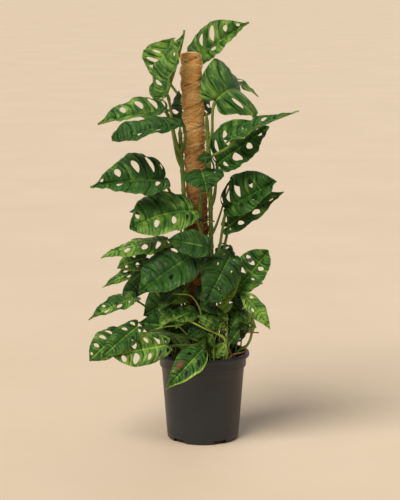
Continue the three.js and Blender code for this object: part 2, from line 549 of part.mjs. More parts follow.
// The flat point bent into the leaf: the midrib is an arc that sweep bows sideways, each half is an
// arc that starts at its fold angle, and the margin waves.
function bladePoint(leaf, frame, along, across) {
  const rad = THREE.MathUtils.degToRad;
  const side = across < 0 ? 1 : 0;
  const reach = Math.abs(across);
  const arch = rad(leaf.arch);
  const length = (frame.chord * (arch / 2)) / Math.sin(arch / 2);
  const slope = arch / 2 - arch * along;
  const half = leaf.width / 2;
  const fold = rad(leaf.fold[side]);
  const cup = rad(leaf.cup);
  const out = ((across < 0 ? -half : half) * (Math.sin(fold) - Math.sin(fold - cup * reach))) / cup;
  const phase = 2 * Math.PI * WAVES * along + leaf.phase + WAVE_SHIFT * side;
  const wave = leaf.wave * reach ** 2 * Math.sin(phase);
  const up = (half * (Math.cos(fold - cup * reach) - Math.cos(fold))) / cup + wave;
  const aside = out + leaf.sweep * 4 * along * (1 - along);
  const run = (length / arch) * (Math.sin(arch / 2) - Math.sin(slope)) - up * Math.sin(slope);
  const rise = (length / arch) * (Math.cos(slope) - Math.cos(arch / 2)) + up * Math.cos(slope);
  return leaf.base.clone().addScaledVector(frame.x, run).addScaledVector(frame.y, aside)
    .addScaledVector(frame.z, rise);
}

function bladeNormal(leaf, frame, along, across) {
  const step = 0.01;
  const lengthwise = bladePoint(leaf, frame, along + step, across)
    .sub(bladePoint(leaf, frame, along - step, across));
  const crosswise = bladePoint(leaf, frame, along, across + step)
    .sub(bladePoint(leaf, frame, along, across - step));
  return lengthwise.cross(crosswise).normalize();
}

// A blade is cut into strips between lateral veins. Each strip is a flat polygon, with a hole in it
// where the leaf has one, split into triangles that both faces share, and joined by edge walls.
function bladeGeometry(leaf) {
  const frame = bladeFrame(leaf);
  const strips = leaf.strips ?? VEIN_STRIPS;
  const places = [];
  const known = new Map();
  const indexOf = (point, sign) => {
    const key = `${Math.round(point.x * 2e4)} ${Math.round(point.y * 2e4) * sign + 0}`;
    if (!known.has(key)) {
      known.set(key, places.length);
      places.push([point.x, point.y * sign]);
    }
    return known.get(key);
  };
  const triangles = [];
  const half = leaf.width / 2;
  for (const sign of [1, -1]) {
    for (let i = 0; i < strips; i += 1) {
      const [start, end] = [(Math.PI * i) / strips, (Math.PI * (i + 1)) / strips];
      const corners = [[start, 0], [start, 1], [(start + end) / 2, 1], [end, 1], [end, 0]];
      if (leaf.plain) corners.splice(2, 1);
      const rim = corners.map(([angle, reach]) => veinPoint(leaf, angle, reach));
      const outline = rim.filter((p, k) => {
        const next = rim[(k + 1) % rim.length];
        return Math.hypot(p.x - next.x, p.y - next.y) > 1e-3;
      });
      const size = leaf.holes ? (leaf.holes[sign > 0 ? 0 : 1][i - 1] ?? 0) : 0;
      const hole = size > 0 ? holeOutline(leaf, (start + end) / 2, end - start, size) : [];
      const flat = (p) => new THREE.Vector2(p.x * frame.chord, p.y * half);
      const all = [...outline, ...hole];
      const faces = THREE.ShapeUtils.triangulateShape(
        outline.map(flat), hole.length ? [hole.map(flat)] : []);
      for (const face of faces) {
        const [p, q, r] = face.map((k) => all[k]);
        const turn = ((q.x - p.x) * (r.y - p.y) - (q.y - p.y) * (r.x - p.x)) * sign;
        triangles.push((turn > 0 ? [p, q, r] : [p, r, q]).map((point) => indexOf(point, sign)));
      }
    }
  }
  return thickened(leaf, frame, places, triangles);
}

// A hole is a long oval between two veins, a little wider towards the margin.
function holeOutline(leaf, angle, spread, size) {
  const corners = size < LARGE_HOLE ? 5 : 6;
  return Array.from({ length: corners }, (_, k) => {
    const turn = (2 * Math.PI * k) / corners;
    const reach = 0.5 + (HOLE_LENGTH + HOLE_LENGTH_GAIN * size) * Math.cos(turn);
    const widening = 0.9 + 0.2 * Math.cos(turn);
    const bulge = Math.sin(turn) * Math.abs(Math.sin(turn)) ** HOLE_POINT;
    const aside = (HOLE_WIDTH + HOLE_WIDTH_GAIN * size) * widening * bulge;
    return veinPoint(leaf, angle + spread * aside, reach);
  });
}

function thickened(leaf, frame, places, triangles) {
  const crease = THREE.MathUtils.degToRad((leaf.fold[0] + leaf.fold[1]) / 2);
  const corners = [];
  for (const face of [0.5, -0.5]) {
    for (const [along, across] of places) {
      const onMidrib = Math.abs(across) < 1e-6;
      const offset = (face * BLADE_THICKNESS) / (onMidrib ? Math.max(0.6, Math.cos(crease)) : 1);
      const normal = bladeNormal(leaf, frame, along, across);
      corners.push(...bladePoint(leaf, frame, along, across).addScaledVector(normal, offset).toArray());
    }
  }
  const count = places.length;
  const index = [];
  const edges = new Set();
  for (const [p, q, r] of triangles) {
    index.push(p, q, r, count + r, count + q, count + p);
    edges.add(`${p} ${q}`).add(`${q} ${r}`).add(`${r} ${p}`);
  }
  for (const edge of edges) {
    const [from, to] = edge.split(' ').map(Number);
    if (!edges.has(`${to} ${from}`)) {
      index.push(count + from, count + to, to, count + from, to, from);
    }
  }
  const geometry = new THREE.BufferGeometry();
  geometry.setAttribute('position', new THREE.Float32BufferAttribute(corners, 3));
  geometry.setIndex(index);
  return geometry;
}

// ---- Vines and stalks ------------------------------------------------------------------------

function climberCurve({ angle, swing, top }, foot) {
  const points = [];
  const steps = Math.ceil((top - SOIL_LEVEL) / 70);
  for (let i = 0; i <= steps; i += 1) {
    const height = SOIL_LEVEL + 8 + ((top - SOIL_LEVEL - 8) * i) / steps;
    const degrees = angle + swing * Math.sin(height / 64 + angle);
    points.push(besidePole(height, degrees, VINE_DISTANCE));
  }
  points.unshift(points[0].clone().setZ(foot));
  return new THREE.CatmullRomCurve3(points);
}

// The place on a rising curve at a given height.
function atHeight(curve, height) {
  let [low, high] = [0, 1];
  for (let i = 0; i < 24; i += 1) {
    const middle = (low + high) / 2;
    if (curve.getPoint(middle).z < height) low = middle;
    else high = middle;
  }
  return curve.getPoint(low);
}

// A stalk leaves its vine upwards and outwards and ends just under the foot of its blade.
function stalkCurve(leaf, vine) {
  const frame = bladeFrame(leaf);
  const start = atHeight(vine, leaf.stem[1]);
  const radius = leaf.width < SMALL_LEAF_WIDTH ? THIN_STALK_RADIUS : STALK_RADIUS;
  const droop = THREE.MathUtils.degToRad(Math.max(0, -leaf.fold[0], -leaf.fold[1]));
  const below = (radius + BLADE_THICKNESS / 2 + STALK_GAP) / Math.cos(droop);
  const end = leaf.base.clone().addScaledVector(frame.z, -below);
  const span = new THREE.Vector3().subVectors(end, start);
  const length = span.length();
  const out = start.clone().sub(poleAt(start.z)).setZ(0).normalize();
  const rise = new THREE.Vector3(0, 0, 0.75).addScaledVector(out, 0.5);
  const arrive = span.clone().divideScalar(length).multiplyScalar(0.6)
    .addScaledVector(frame.x, 0.25).addScaledVector(frame.z, 0.3).normalize();
  return {
    radius,
    curve: new THREE.CubicBezierCurve3(
      start, leaf.via ?? start.clone().addScaledVector(rise, STALK_LEAVING * length),
      end.clone().addScaledVector(arrive, -STALK_ARRIVING * length), end),
  };
}

function stalkSolid(leaf, vine) {
  const { radius, curve } = stalkCurve(leaf, vine);
  return rod(curve, radius, 5, Math.max(3, Math.ceil(curve.getLength() / STALK_STEP)));
}

function vineSolid(vine, blades) {
  const stem = rod(vine.curve, vine.radius, 6, Math.ceil(vine.curve.getLength() / VINE_STEP));
  const own = blades.filter((leaf) => leaf.stem[0] === vine.name);
  return joined([stem, ...own.map((leaf) => stalkSolid(leaf, vine.curve))]);
}

// A young shoot: a thin stem, and small blades whose feet are sunk into the ends of their stalks.
function shootSolid(shoot, curve) {
  const stem = rod(curve, SHOOT_RADIUS, 5, 3);
  const parts = shoot.leaves.flatMap((leaf) => {
    const blade = toSolid(bladeGeometry(leaf));
    const frame = bladeFrame(leaf);
    const start = atHeight(curve, leaf.stem[1]);
    const end = leaf.base.clone().addScaledVector(frame.x, 3);
    const middle = start.clone().lerp(end, 0.5);
    middle.z += 0.12 * start.distanceTo(end);
    const stalk = new THREE.QuadraticBezierCurve3(start, middle, end);
    return [rod(stalk, SHOOT_STALK_RADIUS, 4, 3), blade];
  });
  return joined([stem, ...parts]);
}

// ---- Ties ------------------------------------------------------------------------------------

// How far a cord pulled tight round a set of circles runs from the pole's axis, at one angle: the
// nearest of all the straight lines that touch the circles from outside.
function tightReach(circles, angle) {
  let reach = Infinity;
  for (let turn = -1.5; turn <= 1.5; turn += 0.05) {
    const [c, s] = [Math.cos(angle + turn), Math.sin(angle + turn)];
    const support = Math.max(...circles.map(({ x, y, radius }) => x * c + y * s + radius));
    reach = Math.min(reach, support / Math.cos(turn));
  }
  return reach;
}

// A tie goes round the coir and over the vines that it holds.
function tieSolid(height, held) {
  const axis = poleAt(height);
  const circles = held.map((vine) => {
    const place = atHeight(vine.curve, height).sub(axis);
    return { x: place.x, y: place.y, radius: vine.radius + TIE_SLACK + TIE_RADIUS };
  });
  circles.push({ x: 0, y: 0, radius: COIR_RADIUS + COIR_RELIEF + TIE_RADIUS });
  const ring = new THREE.TorusGeometry(100, TIE_RADIUS, 4, TIE_SIDES);
  return toSolid(reshaped(ring, (place) => {
    const angle = Math.atan2(place.y, place.x);
    const reach = tightReach(circles, angle) + Math.hypot(place.x, place.y) - 100;
    place.set(axis.x + reach * Math.cos(angle), axis.y + reach * Math.sin(angle), place.z + height);
  }));
}

// ---- The object ------------------------------------------------------------------------------

const grown = (leaf) => ({
  ...LEAF_DEFAULTS,
  ...leaf,
  base: new THREE.Vector3(...leaf.base),
  tip: new THREE.Vector3(...leaf.tip),
  face: new THREE.Vector3(...leaf.face),
  via: leaf.via && new THREE.Vector3(...leaf.via),
});
const through = (points) => new THREE.CatmullRomCurve3(points.map((p) => new THREE.Vector3(...p)));

const leaves = LEAVES.map(grown);
const vines = [
  ...CLIMBERS.map((vine) => ({ ...vine, radius: VINE_RADIUS, curve: climberCurve(vine, VINE_FOOT) })),
  ...CREEPERS.map((vine) => ({ ...vine, curve: through(vine.path) })),
];
const shoots = SHOOTS.map((shoot) => ({
  ...shoot, radius: SHOOT_RADIUS, curve: through(shoot.path), leaves: shoot.leaves.map(grown),
}));
const roots = DRY_ROOTS.map((root) => ({ ...root, curve: through(root.path) }));

// A plain upright hole in the soil for everything that stands in it.
function holeFor(curve, radius, end) {
  const foot = curve.getPoint(end);
  const hole = new THREE.LineCurve3(foot.clone().setZ(foot.z - STEM_ROOM), foot.clone().setZ(HOLE_TOP));
  return rod(hole, radius + STEM_ROOM, 6, 1);
}

const stemHoles = [...vines, ...shoots].map(({ curve, radius }) => holeFor(curve, radius, 0));
const rootHoles = roots.filter((root) => root.rooted)
  .flatMap(({ curve, radius }) => [holeFor(curve, radius, 0), holeFor(curve, radius, 1)]);
const poleHole = upright(COIR_RADIUS + COIR_RELIEF + 0.8, POLE_FOOT.z - GAP, HOLE_TOP, COIR_SIDES);

const object = new THREE.Group();
object.name = 'monstera_adansonii';

function addPiece(name, solid, colour, roughness) {
  const geometry = solid.isBufferGeometry ? solid : toGeometry(solid);
  const material = new THREE.MeshStandardMaterial({ color: colour, roughness, metalness: 0 });
  const mesh = new THREE.Mesh(geometry, material);
  mesh.name = name;
  object.add(mesh);
}

addPiece('pot', potSolid(), POT_BLACK, 0.55);
addPiece('soil', soilSolid([poleHole, ...stemHoles, ...rootHoles]), SOIL_BROWN, 0.95);
addPiece('pole_stake', upright(STAKE_RADIUS, POLE_FOOT.z, POLE_TOP.z - COIR_COVER, 12), STAKE_WOOD, 0.8);
addPiece('pole_coir', coirSolid(), COIR_BROWN, 0.95);
for (const vine of vines) addPiece(vine.name, vineSolid(vine, leaves), VINE_GREEN, 0.5);
for (const shoot of shoots) addPiece(shoot.name, shootSolid(shoot, shoot.curve), SHOOT_GREEN, 0.5);
for (const leaf of leaves) addPiece(leaf.name, bladeGeometry(leaf), LEAF_GREEN, 0.45);
for (const { name, height, holds, colour } of TIES) {
  addPiece(name, tieSolid(height, vines.filter((vine) => holds.includes(vine.name))), colour, 0.4);
}
for (const { name, curve, radius } of roots) addPiece(name, rod(curve, radius, 5, 8), ROOT_BROWN, 0.9);

export default object;
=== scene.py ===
"""A Swiss cheese plant (Monstera adansonii) that climbs a coir pole in a black nursery pot.

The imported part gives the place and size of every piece, and this script gives each one its finish.
Shapes are worked out in millimetres, +Z up, with the pot's underside at the origin and -Y in front.
"""
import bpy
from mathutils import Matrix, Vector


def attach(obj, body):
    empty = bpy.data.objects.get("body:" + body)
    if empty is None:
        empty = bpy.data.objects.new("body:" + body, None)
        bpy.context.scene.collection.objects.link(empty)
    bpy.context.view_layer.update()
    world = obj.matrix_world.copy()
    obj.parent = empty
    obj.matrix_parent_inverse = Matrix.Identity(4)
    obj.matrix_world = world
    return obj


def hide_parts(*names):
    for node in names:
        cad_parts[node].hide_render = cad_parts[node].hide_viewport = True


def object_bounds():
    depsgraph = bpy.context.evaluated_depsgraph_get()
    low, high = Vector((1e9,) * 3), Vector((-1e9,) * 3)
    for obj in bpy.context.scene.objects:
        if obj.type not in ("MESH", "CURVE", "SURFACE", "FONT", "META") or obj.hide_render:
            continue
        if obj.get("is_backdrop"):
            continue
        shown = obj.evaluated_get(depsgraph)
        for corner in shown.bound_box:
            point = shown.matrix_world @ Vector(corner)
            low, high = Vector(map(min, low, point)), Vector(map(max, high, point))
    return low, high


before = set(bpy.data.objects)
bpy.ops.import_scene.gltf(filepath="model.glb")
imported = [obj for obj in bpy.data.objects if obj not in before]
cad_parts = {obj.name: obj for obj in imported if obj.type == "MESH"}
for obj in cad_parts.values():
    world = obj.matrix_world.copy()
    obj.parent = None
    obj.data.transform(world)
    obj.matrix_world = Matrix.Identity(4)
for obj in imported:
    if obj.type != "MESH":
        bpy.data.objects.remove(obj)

from types import SimpleNamespace

import bpy
import numpy as np
from numpy import cos, exp, pi, sin

part_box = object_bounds()

# ---- Camera and studio -----------------------------------------------------------------------
# The camera stands 3.5 m in front of the plant, a little above its top, and looks slightly down.
# A large soft light on the left, two weak ones and a dim surround light it on a plain pale plaster
# floor, and beyond the floor the surround shows as pale as the plaster.

FOCAL_LENGTH, SENSOR_WIDTH = 126.2, 36
CAMERA_PLACE, LOOKS_DOWN = (-0.006, -3.5, 0.98), 9.585
FLOOR_HALF = 60

camera = bpy.data.objects.new("camera", bpy.data.cameras.new("camera"))
camera.data.lens = FOCAL_LENGTH
camera.data.sensor_width = SENSOR_WIDTH
camera.location = CAMERA_PLACE
camera.rotation_euler = (np.radians(90 - LOOKS_DOWN), 0, 0)
bpy.context.scene.collection.objects.link(camera)
bpy.context.scene.camera = camera
bpy.context.scene.view_settings.view_transform = "Standard"


def linear(colour):
    """An sRGB hex colour as linear red, green and blue, and full alpha, by the sRGB curve."""
    parts = np.array([int(colour[i:i + 2], 16) for i in (1, 3, 5)]) / 255
    straight = np.where(parts <= 0.04045, parts / 12.92, ((parts + 0.055) / 1.055) ** 2.4)
    return (*straight.tolist(), 1.0)


def node(tree, kind, inputs, **settings):
    """Adds a node. An input is a value, an sRGB hex colour, the output of another node, or another
    node whose first output in use feeds it."""
    made = tree.nodes.new("ShaderNode" + kind)
    for name, value in settings.items():
        setattr(made, name, value)
    for name, value in inputs.items():
        if isinstance(value, bpy.types.Node):
            value = next(output for output in value.outputs if output.enabled)
        if isinstance(value, bpy.types.NodeSocket):
            tree.links.new(value, made.inputs[name])
        else:
            made.inputs[name].default_value = linear(value) if isinstance(value, str) else value
    return made


surround = bpy.data.worlds.new("pale_surround")
surround.use_nodes = True
tree = surround.node_tree
tree.nodes.clear()
glow = node(tree, "Background", {"Color": "#f2ebe0", "Strength": 0.13})
backdrop = node(tree, "Background", {"Color": "#e8d2b5"})
seen = node(tree, "LightPath", {}).outputs["Is Camera Ray"]
shown = node(tree, "MixShader", {0: seen, 1: glow, 2: backdrop})
node(tree, "OutputWorld", {"Surface": shown})
bpy.context.scene.world = surround


def soft_light(name, degrees_right, degrees_up, strength, spread, colour):
    """A distant light from a direction, whose spread in degrees softens its shadows."""
    light = bpy.data.lights.new(name, "SUN")
    light.energy = strength
    light.angle = np.radians(spread)
    light.color = linear(colour)[:3]
    lamp = bpy.data.objects.new(name, light)
    lamp.rotation_euler = (np.radians(90 - degrees_up), 0, np.radians(degrees_right))
    bpy.context.scene.collection.objects.link(lamp)


soft_light("window_light", -38, 48, 3.3, 40, "#fff5e8")
soft_light("back_light", 160, 40, 0.6, 60, "#f6f3ee")
soft_light("sky_light", 55, 60, 0.3, 70, "#f1f3f6")


def material(name):
    """A material with a node tree that has only the place on the piece, in metres."""
    made = bpy.data.materials.new(name)
    made.use_nodes = True
    made.node_tree.nodes.clear()
    return made, made.node_tree, node(made.node_tree, "TexCoord", {}).outputs["Object"]


def finished(tree, share, first, second, roughness, relief=None, gloss=None):
    """Closes a material. Its tone goes from the first colour to the second as the share goes from 0
    to 1. relief is a height with its strength and its depth in metres, and gloss is what the surface
    has besides its roughness."""
    surface = {"Roughness": roughness, **(gloss or {})}
    surface["Base Color"] = node(tree, "Mix", {0: share, 6: first, 7: second}, data_type="RGBA")
    if relief:
        height, strength, depth = relief
        surface["Normal"] = node(tree, "Bump", {"Height": height, "Strength": strength, "Distance": depth})
    node(tree, "OutputMaterial", {"Surface": node(tree, "BsdfPrincipled", surface)})


# Plaster floor: trowelled and sealed, so it is matt, with faint clouds half a metre wide in its tone.
plaster, tree, place = material("trowelled_plaster")
clouds = node(tree, "TexNoise", {"Vector": place, "Scale": 2.2, "Detail": 5, "Roughness": 0.6})
finished(tree, clouds, "#dac8b0", "#e8d7c1", 0.7, (clouds, 0.1, 0.02))

floor_mesh = bpy.data.meshes.new("floor")
floor_mesh.from_pydata([(x * FLOOR_HALF, y * FLOOR_HALF, 0) for x, y in ((-1, -1), (1, -1), (1, 1), (-1, 1))],
                       [], [(0, 1, 2, 3)])
floor_mesh.materials.append(plaster)
floor = bpy.data.objects.new("floor", floor_mesh)
bpy.context.scene.collection.objects.link(floor)
floor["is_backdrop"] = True

# ---- Nursery pot -----------------------------------------------------------------------------
# One piece of injection moulded black polypropylene: a tapered wall, a stacking band, a thick
# rolled lip, and five notches through its bottom corner that let water out.

DRAIN_COUNT, DRAIN_WIDTH, DRAIN_HEIGHT, DRAIN_DEPTH, FIRST_DRAIN = 5, 28, 8, 16, 29
POT_BASE_RADIUS, POT_SIDES = 73, 180
SHARP, POT_SHARP = np.radians(60), np.radians(35)


def weld(points, quads, *values):
    """Points that lie together become one, and the quads and point values follow them."""
    keys = np.round(points * 1e3).astype(np.int64)
    _, first, index = np.unique(keys, axis=0, return_index=True, return_inverse=True)
    return (points[first], index.reshape(-1)[quads], *(value[first] for value in values))


def piece(name, points, quads, finishes, finish=None, **values):
    """A mesh object from points in millimetres and quads, which may have collapsed into triangles.
    finish is each quad's place in the list of finishes, and values are named point values."""
    kept = quads != np.roll(quads, 1, axis=1)
    whole = kept.sum(1) >= 3
    corners = kept[whole].sum(1)
    mesh = bpy.data.meshes.new(name)
    mesh.vertices.add(len(points))
    mesh.vertices.foreach_set("co", (points / 1000).astype(np.float32).ravel())
    mesh.loops.add(int(corners.sum()))
    mesh.loops.foreach_set("vertex_index", quads[whole][kept[whole]].astype(np.int32))
    mesh.polygons.add(len(corners))
    mesh.polygons.foreach_set("loop_start", (np.cumsum(corners) - corners).astype(np.int32))
    for surface in finishes:
        mesh.materials.append(surface)
    if finish is not None:
        mesh.polygons.foreach_set("material_index", finish[whole].astype(np.int32))
    for label, value in values.items():
        attribute = mesh.attributes.new(label, "FLOAT_VECTOR", "POINT")
        attribute.data.foreach_set("vector", value.astype(np.float32).ravel())
    mesh.update(calc_edges=True)
    mesh.validate()
    mesh.shade_smooth()
    mesh.set_sharp_from_angle(angle=SHARP)
    made = bpy.data.objects.new(name, mesh)
    bpy.context.scene.collection.objects.link(made)
    return made


def fixed(made, slot, stands_for=None):
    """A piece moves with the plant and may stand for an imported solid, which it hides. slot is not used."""
    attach(made, "root")
    if stands_for:
        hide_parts(stands_for)


def grid_quads(rows, columns):
    """The quads of a grid of points, whose faces look along rows cross columns."""
    index = np.arange(rows * columns).reshape(rows, columns)
    return np.stack([index[:-1, :-1], index[1:, :-1], index[1:, 1:], index[:-1, 1:]], -1).reshape(-1, 4)


def turned(profile, sides):
    """A profile of radius and height, turned about the Z axis: x = r cos a, y = r sin a, z = height."""
    radius, height = np.array(profile, float).T[..., None]
    turn = np.linspace(0, 2 * pi, sides + 1)
    points = np.stack([radius * cos(turn), radius * sin(turn), height + 0 * turn], -1)
    return weld(points.reshape(-1, 3), grid_quads(len(profile), sides + 1)[:, ::-1])


def bend(centre_radius, centre_height, size, start, end, steps=6):
    """A round corner of a profile: an arc about a centre, between two angles in degrees."""
    angle = np.radians(np.linspace(start, end, steps))
    return np.stack([centre_radius + size * cos(angle), centre_height + size * sin(angle)], -1).tolist()


def swung(x, y, turn):
    """A place swung about the Z axis: x cos a - y sin a, and x sin a + y cos a."""
    return x * cos(turn) - y * sin(turn), x * sin(turn) + y * cos(turn)


pot_profile = [
    [0, 0], [66, 0], *bend(67, 6, 6, -80, -4),
    [73.4, 11], [74.0, 12], [73.9, 13.5],
    [83.4, 138.0], [83.5, 139.2], [83.9, 140.0], [84.0, 145.6], [84.1, 146.8], [84.5, 147.6],
    *bend(85.2, 153.6, 3.2, -110, -10, 4),
    [88.2, 154.4], [88.5, 169.8],
    *bend(89.4, 170.6, 0.8, 180, 95, 3),
    *bend(92.6, 173.6, 2.4, -80, 0, 5),
    *bend(91.9, 176.9, 3.1, 0, 90, 6),
    *bend(88.4, 178.4, 1.6, 90, 160, 4),
    [85.9, 176], [85.8, 154.6], [82.3, 151.4], [70.9, 8], [66.8, 3], [0, 3],
]

# Black polypropylene, moulded: satin, with a grain from the mould, upright drag marks 17 mm wide and
# lighter clouds 70 mm wide, which give the eye soft wide highlights instead of sharp ones. The clouds
# are partly dust and partly painted sheen. The real grain is too fine to show, so it is drawn 1 mm wide.
polypropylene, tree, place = material("moulded_black_polypropylene")
grit = node(tree, "TexNoise", {"Vector": place, "Scale": 900, "Detail": 2})
drawn = node(tree, "Mapping", {"Vector": place, "Scale": (60, 60, 2)})
drag = node(tree, "TexNoise", {"Vector": drawn, "Scale": 1, "Detail": 3})
dust = node(tree, "TexNoise", {"Vector": place, "Scale": 14, "Detail": 6, "Roughness": 0.65})
shine = node(tree, "MapRange", {"Value": drag, "To Min": 0.3, "To Max": 0.46})
height = node(tree, "Math", {0: drag, 1: 0.6, 2: grit}, operation="MULTIPLY_ADD")
finished(tree, dust, "#15191e", "#262c32", shine, (height, 0.25, 0.0003), {"IOR": 1.49})


def drain_cutter():
    """The boxes that cut the notches, each centred on the bottom corner at its own angle."""
    corner = np.array([[x, y, z] for x in (-1, 1) for y in (-1, 1) for z in (-1, 1)], float)
    corner *= (DRAIN_WIDTH / 2, DRAIN_DEPTH / 2, DRAIN_HEIGHT)
    corner[:, 1] -= POT_BASE_RADIUS
    turn = np.radians(FIRST_DRAIN + 360 * np.arange(DRAIN_COUNT) / DRAIN_COUNT)[:, None]
    x, y = swung(corner[:, 0], corner[:, 1], turn)
    points = np.stack([x, y, corner[:, 2] + 0 * x], -1).reshape(-1, 3)
    box = np.array([[0, 1, 3, 2], [4, 6, 7, 5], [0, 4, 5, 1], [2, 3, 7, 6], [0, 2, 6, 4], [1, 5, 7, 3]])
    return piece("drain_cutter", points, (box + 8 * np.arange(DRAIN_COUNT)[:, None, None]).reshape(-1, 4), [])


pot = piece("nursery_pot", *turned(pot_profile, POT_SIDES), [polypropylene])
cutter = drain_cutter()
notching = pot.modifiers.new("notches", "BOOLEAN")
notching.operation = "DIFFERENCE"
notching.solver = "EXACT"
notching.object = cutter
notched = bpy.data.meshes.new_from_object(pot.evaluated_get(bpy.context.evaluated_depsgraph_get()))
pot.modifiers.clear()
pot.data = notched
bpy.data.objects.remove(cutter)
pot.data.set_sharp_from_angle(angle=POT_SHARP)
fixed(pot, "pot", "pot")

# ---- Potting soil ----------------------------------------------------------------------------
# Peat and bark that fill the pot to a finger's width under the lip. It is poured and pressed, so
# its top is lumpy and crumbly, with loose crumbs, bark and bits of dry root on it.

SOIL_LEVEL, SOIL_RADIUS, SOIL_SIDES, SOIL_RINGS = 167, 85.3, 260, 70
LITTER_RADIUS, LITTER_LIFT = 82, 0.4
CRUMBS, CRUMB_ROWS, CRUMB_TURNS = 900, 5, 7


def soil_height(x, y):
    """The height of the soil's top: slow swells, and four finer crossing waves for the lumps."""
    swell = 2.2 * sin(x / 9) * cos(y / 8 + x / 17)
    lumps = 1.1 * sin(x / 3.1 + 2 * sin(y / 5.3)) * sin(y / 2.7 + x / 7.9)
    crumbs = 0.5 * sin(x / 1.3 + 3 * sin(y / 2.2)) * sin(y / 1.1 + 2 * sin(x / 1.9))
    heap = 2 * (1 - np.hypot(x, y) / SOIL_RADIUS)
    return SOIL_LEVEL + heap + swell + lumps + crumbs


soil_top = [[radius, SOIL_LEVEL] for radius in np.linspace(SOIL_RADIUS, 0, SOIL_RINGS)]
soil_profile = [[0, 3.4], [66, 3.4], [70.2, 8], [81.8, 152], [SOIL_RADIUS, 155.4], *soil_top]
points, quads = turned(soil_profile, SOIL_SIDES)
on_top = points[:, 2] > SOIL_LEVEL - 1
points[on_top, 2] = soil_height(points[on_top, 0], points[on_top, 1])

# Damp peat with bark fines: nearly black, with brown fibres, and so rough that it has no shine. Its
# lumps are 4 mm wide and its fines 2 mm.
peat, tree, place = material("damp_peat_and_bark")
lumps = node(tree, "TexVoronoi", {"Vector": place, "Scale": 260})
fines = node(tree, "TexNoise", {"Vector": place, "Scale": 420, "Detail": 6, "Roughness": 0.7})
height = node(tree, "Math", {0: lumps, 1: 0.5, 2: fines}, operation="MULTIPLY_ADD")
finished(tree, fines, "#1b120c", "#4c3222", 0.92, (height, 0.9, 0.0015), {"Specular IOR Level": 0.25})
fixed(piece("potting_soil", points, quads, [peat]), "soil", "soil")


def point_values(tree, name):
    """A piece's own point values of one name, as a vector and as its three parts."""
    vector = node(tree, "Attribute", {}, attribute_name=name).outputs["Vector"]
    return vector, *node(tree, "SeparateXYZ", {0: vector}).outputs


def each(low, high, count):
    """A column of numbers from the section's own seeded draw, one for each of a count of things."""
    return draw.uniform(low, high, (count, 1))


# Crumbs and bark: each is a small squashed ball with its corners pulled about at random. The bark
# is composted, so it is dull, with pits 3 mm wide, and goes from nearly black to red-brown.
bark, tree, place = material("composted_bark")
_, _, _, shade = point_values(tree, "growth")
fines = node(tree, "TexNoise", {"Vector": place, "Scale": 300, "Detail": 5})
finished(tree, shade, "#20150e", "#6e452b", 0.9, (fines, 0.7, 0.001), {"Specular IOR Level": 0.3})

draw = np.random.default_rng(11)
slope = np.linspace(0, pi, CRUMB_ROWS)[:, None]
turn = np.linspace(0, 2 * pi, CRUMB_TURNS)
ball = np.stack([sin(slope) * cos(turn), sin(slope) * sin(turn), cos(slope) + 0 * turn], -1)
ball_points, ball_quads = weld(ball.reshape(-1, 3), grid_quads(CRUMB_ROWS, CRUMB_TURNS))
half = draw.lognormal(0.35, 0.4, (CRUMBS, 1, 1)) * draw.uniform(0.45, 1.3, (CRUMBS, 1, 3))
corner = ball_points * half * draw.uniform(0.75, 1.25, (CRUMBS, len(ball_points), 1))
x, y = swung(corner[..., 0], corner[..., 1], each(0, pi, CRUMBS))
away = LITTER_RADIUS * np.sqrt(each(0, 1, CRUMBS))
centre_x, centre_y = swung(away, 0, each(0, 2 * pi, CRUMBS))
z = corner[..., 2] + soil_height(centre_x, centre_y) + LITTER_LIFT
points = np.stack([x + centre_x, y + centre_y, z], -1).reshape(-1, 3)
quads = (ball_quads + len(ball_points) * np.arange(CRUMBS)[:, None, None]).reshape(-1, 4)
shades = np.repeat(draw.uniform(0, 1, CRUMBS) ** 2, len(ball_points))
growth = np.stack([0 * shades, 0 * shades, shades], -1)
fixed(piece("bark_crumbs", points, quads, [bark], growth=growth), "soil")

# ---- Climbing pole ---------------------------------------------------------------------------
# A wooden stake in the soil, wrapped in coir: coconut fibre laid round it in slanting bands and
# bound with a thin brown thread. The coir has dried pale at the top and stays damp and dark below.

POLE_FOOT, POLE_TOP = np.array([7.5, 0, 6]), np.array([-24.5, 0, 786])
COIR_RADIUS, COIR_FOOT, COIR_TOP, COIR_CHAMFER, COIR_SIDES, COIR_ROWS = 20.5, 70, 782, 4, 72, 250
WINDING_PITCH, THREAD_PITCH, THREAD_FOOT, THREAD_RADIUS, THREAD_TURNS = 30, 46, 176, 0.55, (0.3, 13.1)
MAT_TONE, FIBRES, FIBRE_POINTS, FIBRES_FROM, LOOSE_SHARE = -0.15, 3000, 9, 150, 1 / 16
CUT_FIBRES, CUT_RADIUS, CUT_ASIDE, CUT_FIBRE_RADIUS = 160, 17, 14, 0.35

# Softwood, sawn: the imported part's own stake, pale brown and matt, with a grain 3 mm wide along it.
timber, tree, place = material("sawn_softwood")
drawn = node(tree, "Mapping", {"Vector": place, "Scale": (300, 300, 12)})
rings = node(tree, "TexNoise", {"Vector": drawn, "Scale": 1, "Detail": 4})
finished(tree, rings, "#8d6c41", "#c09e6c", 0.7)
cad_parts["pole_stake"].material_slots[0].material = timber


def pole_axis(height):
    """The centre of the pole at each height: a straight line from its foot to its top."""
    share = (np.asarray(height, float)[..., None] - POLE_FOOT[2]) / (POLE_TOP[2] - POLE_FOOT[2])
    axis = POLE_FOOT + (POLE_TOP - POLE_FOOT) * share
    axis[..., 2] = height
    return axis


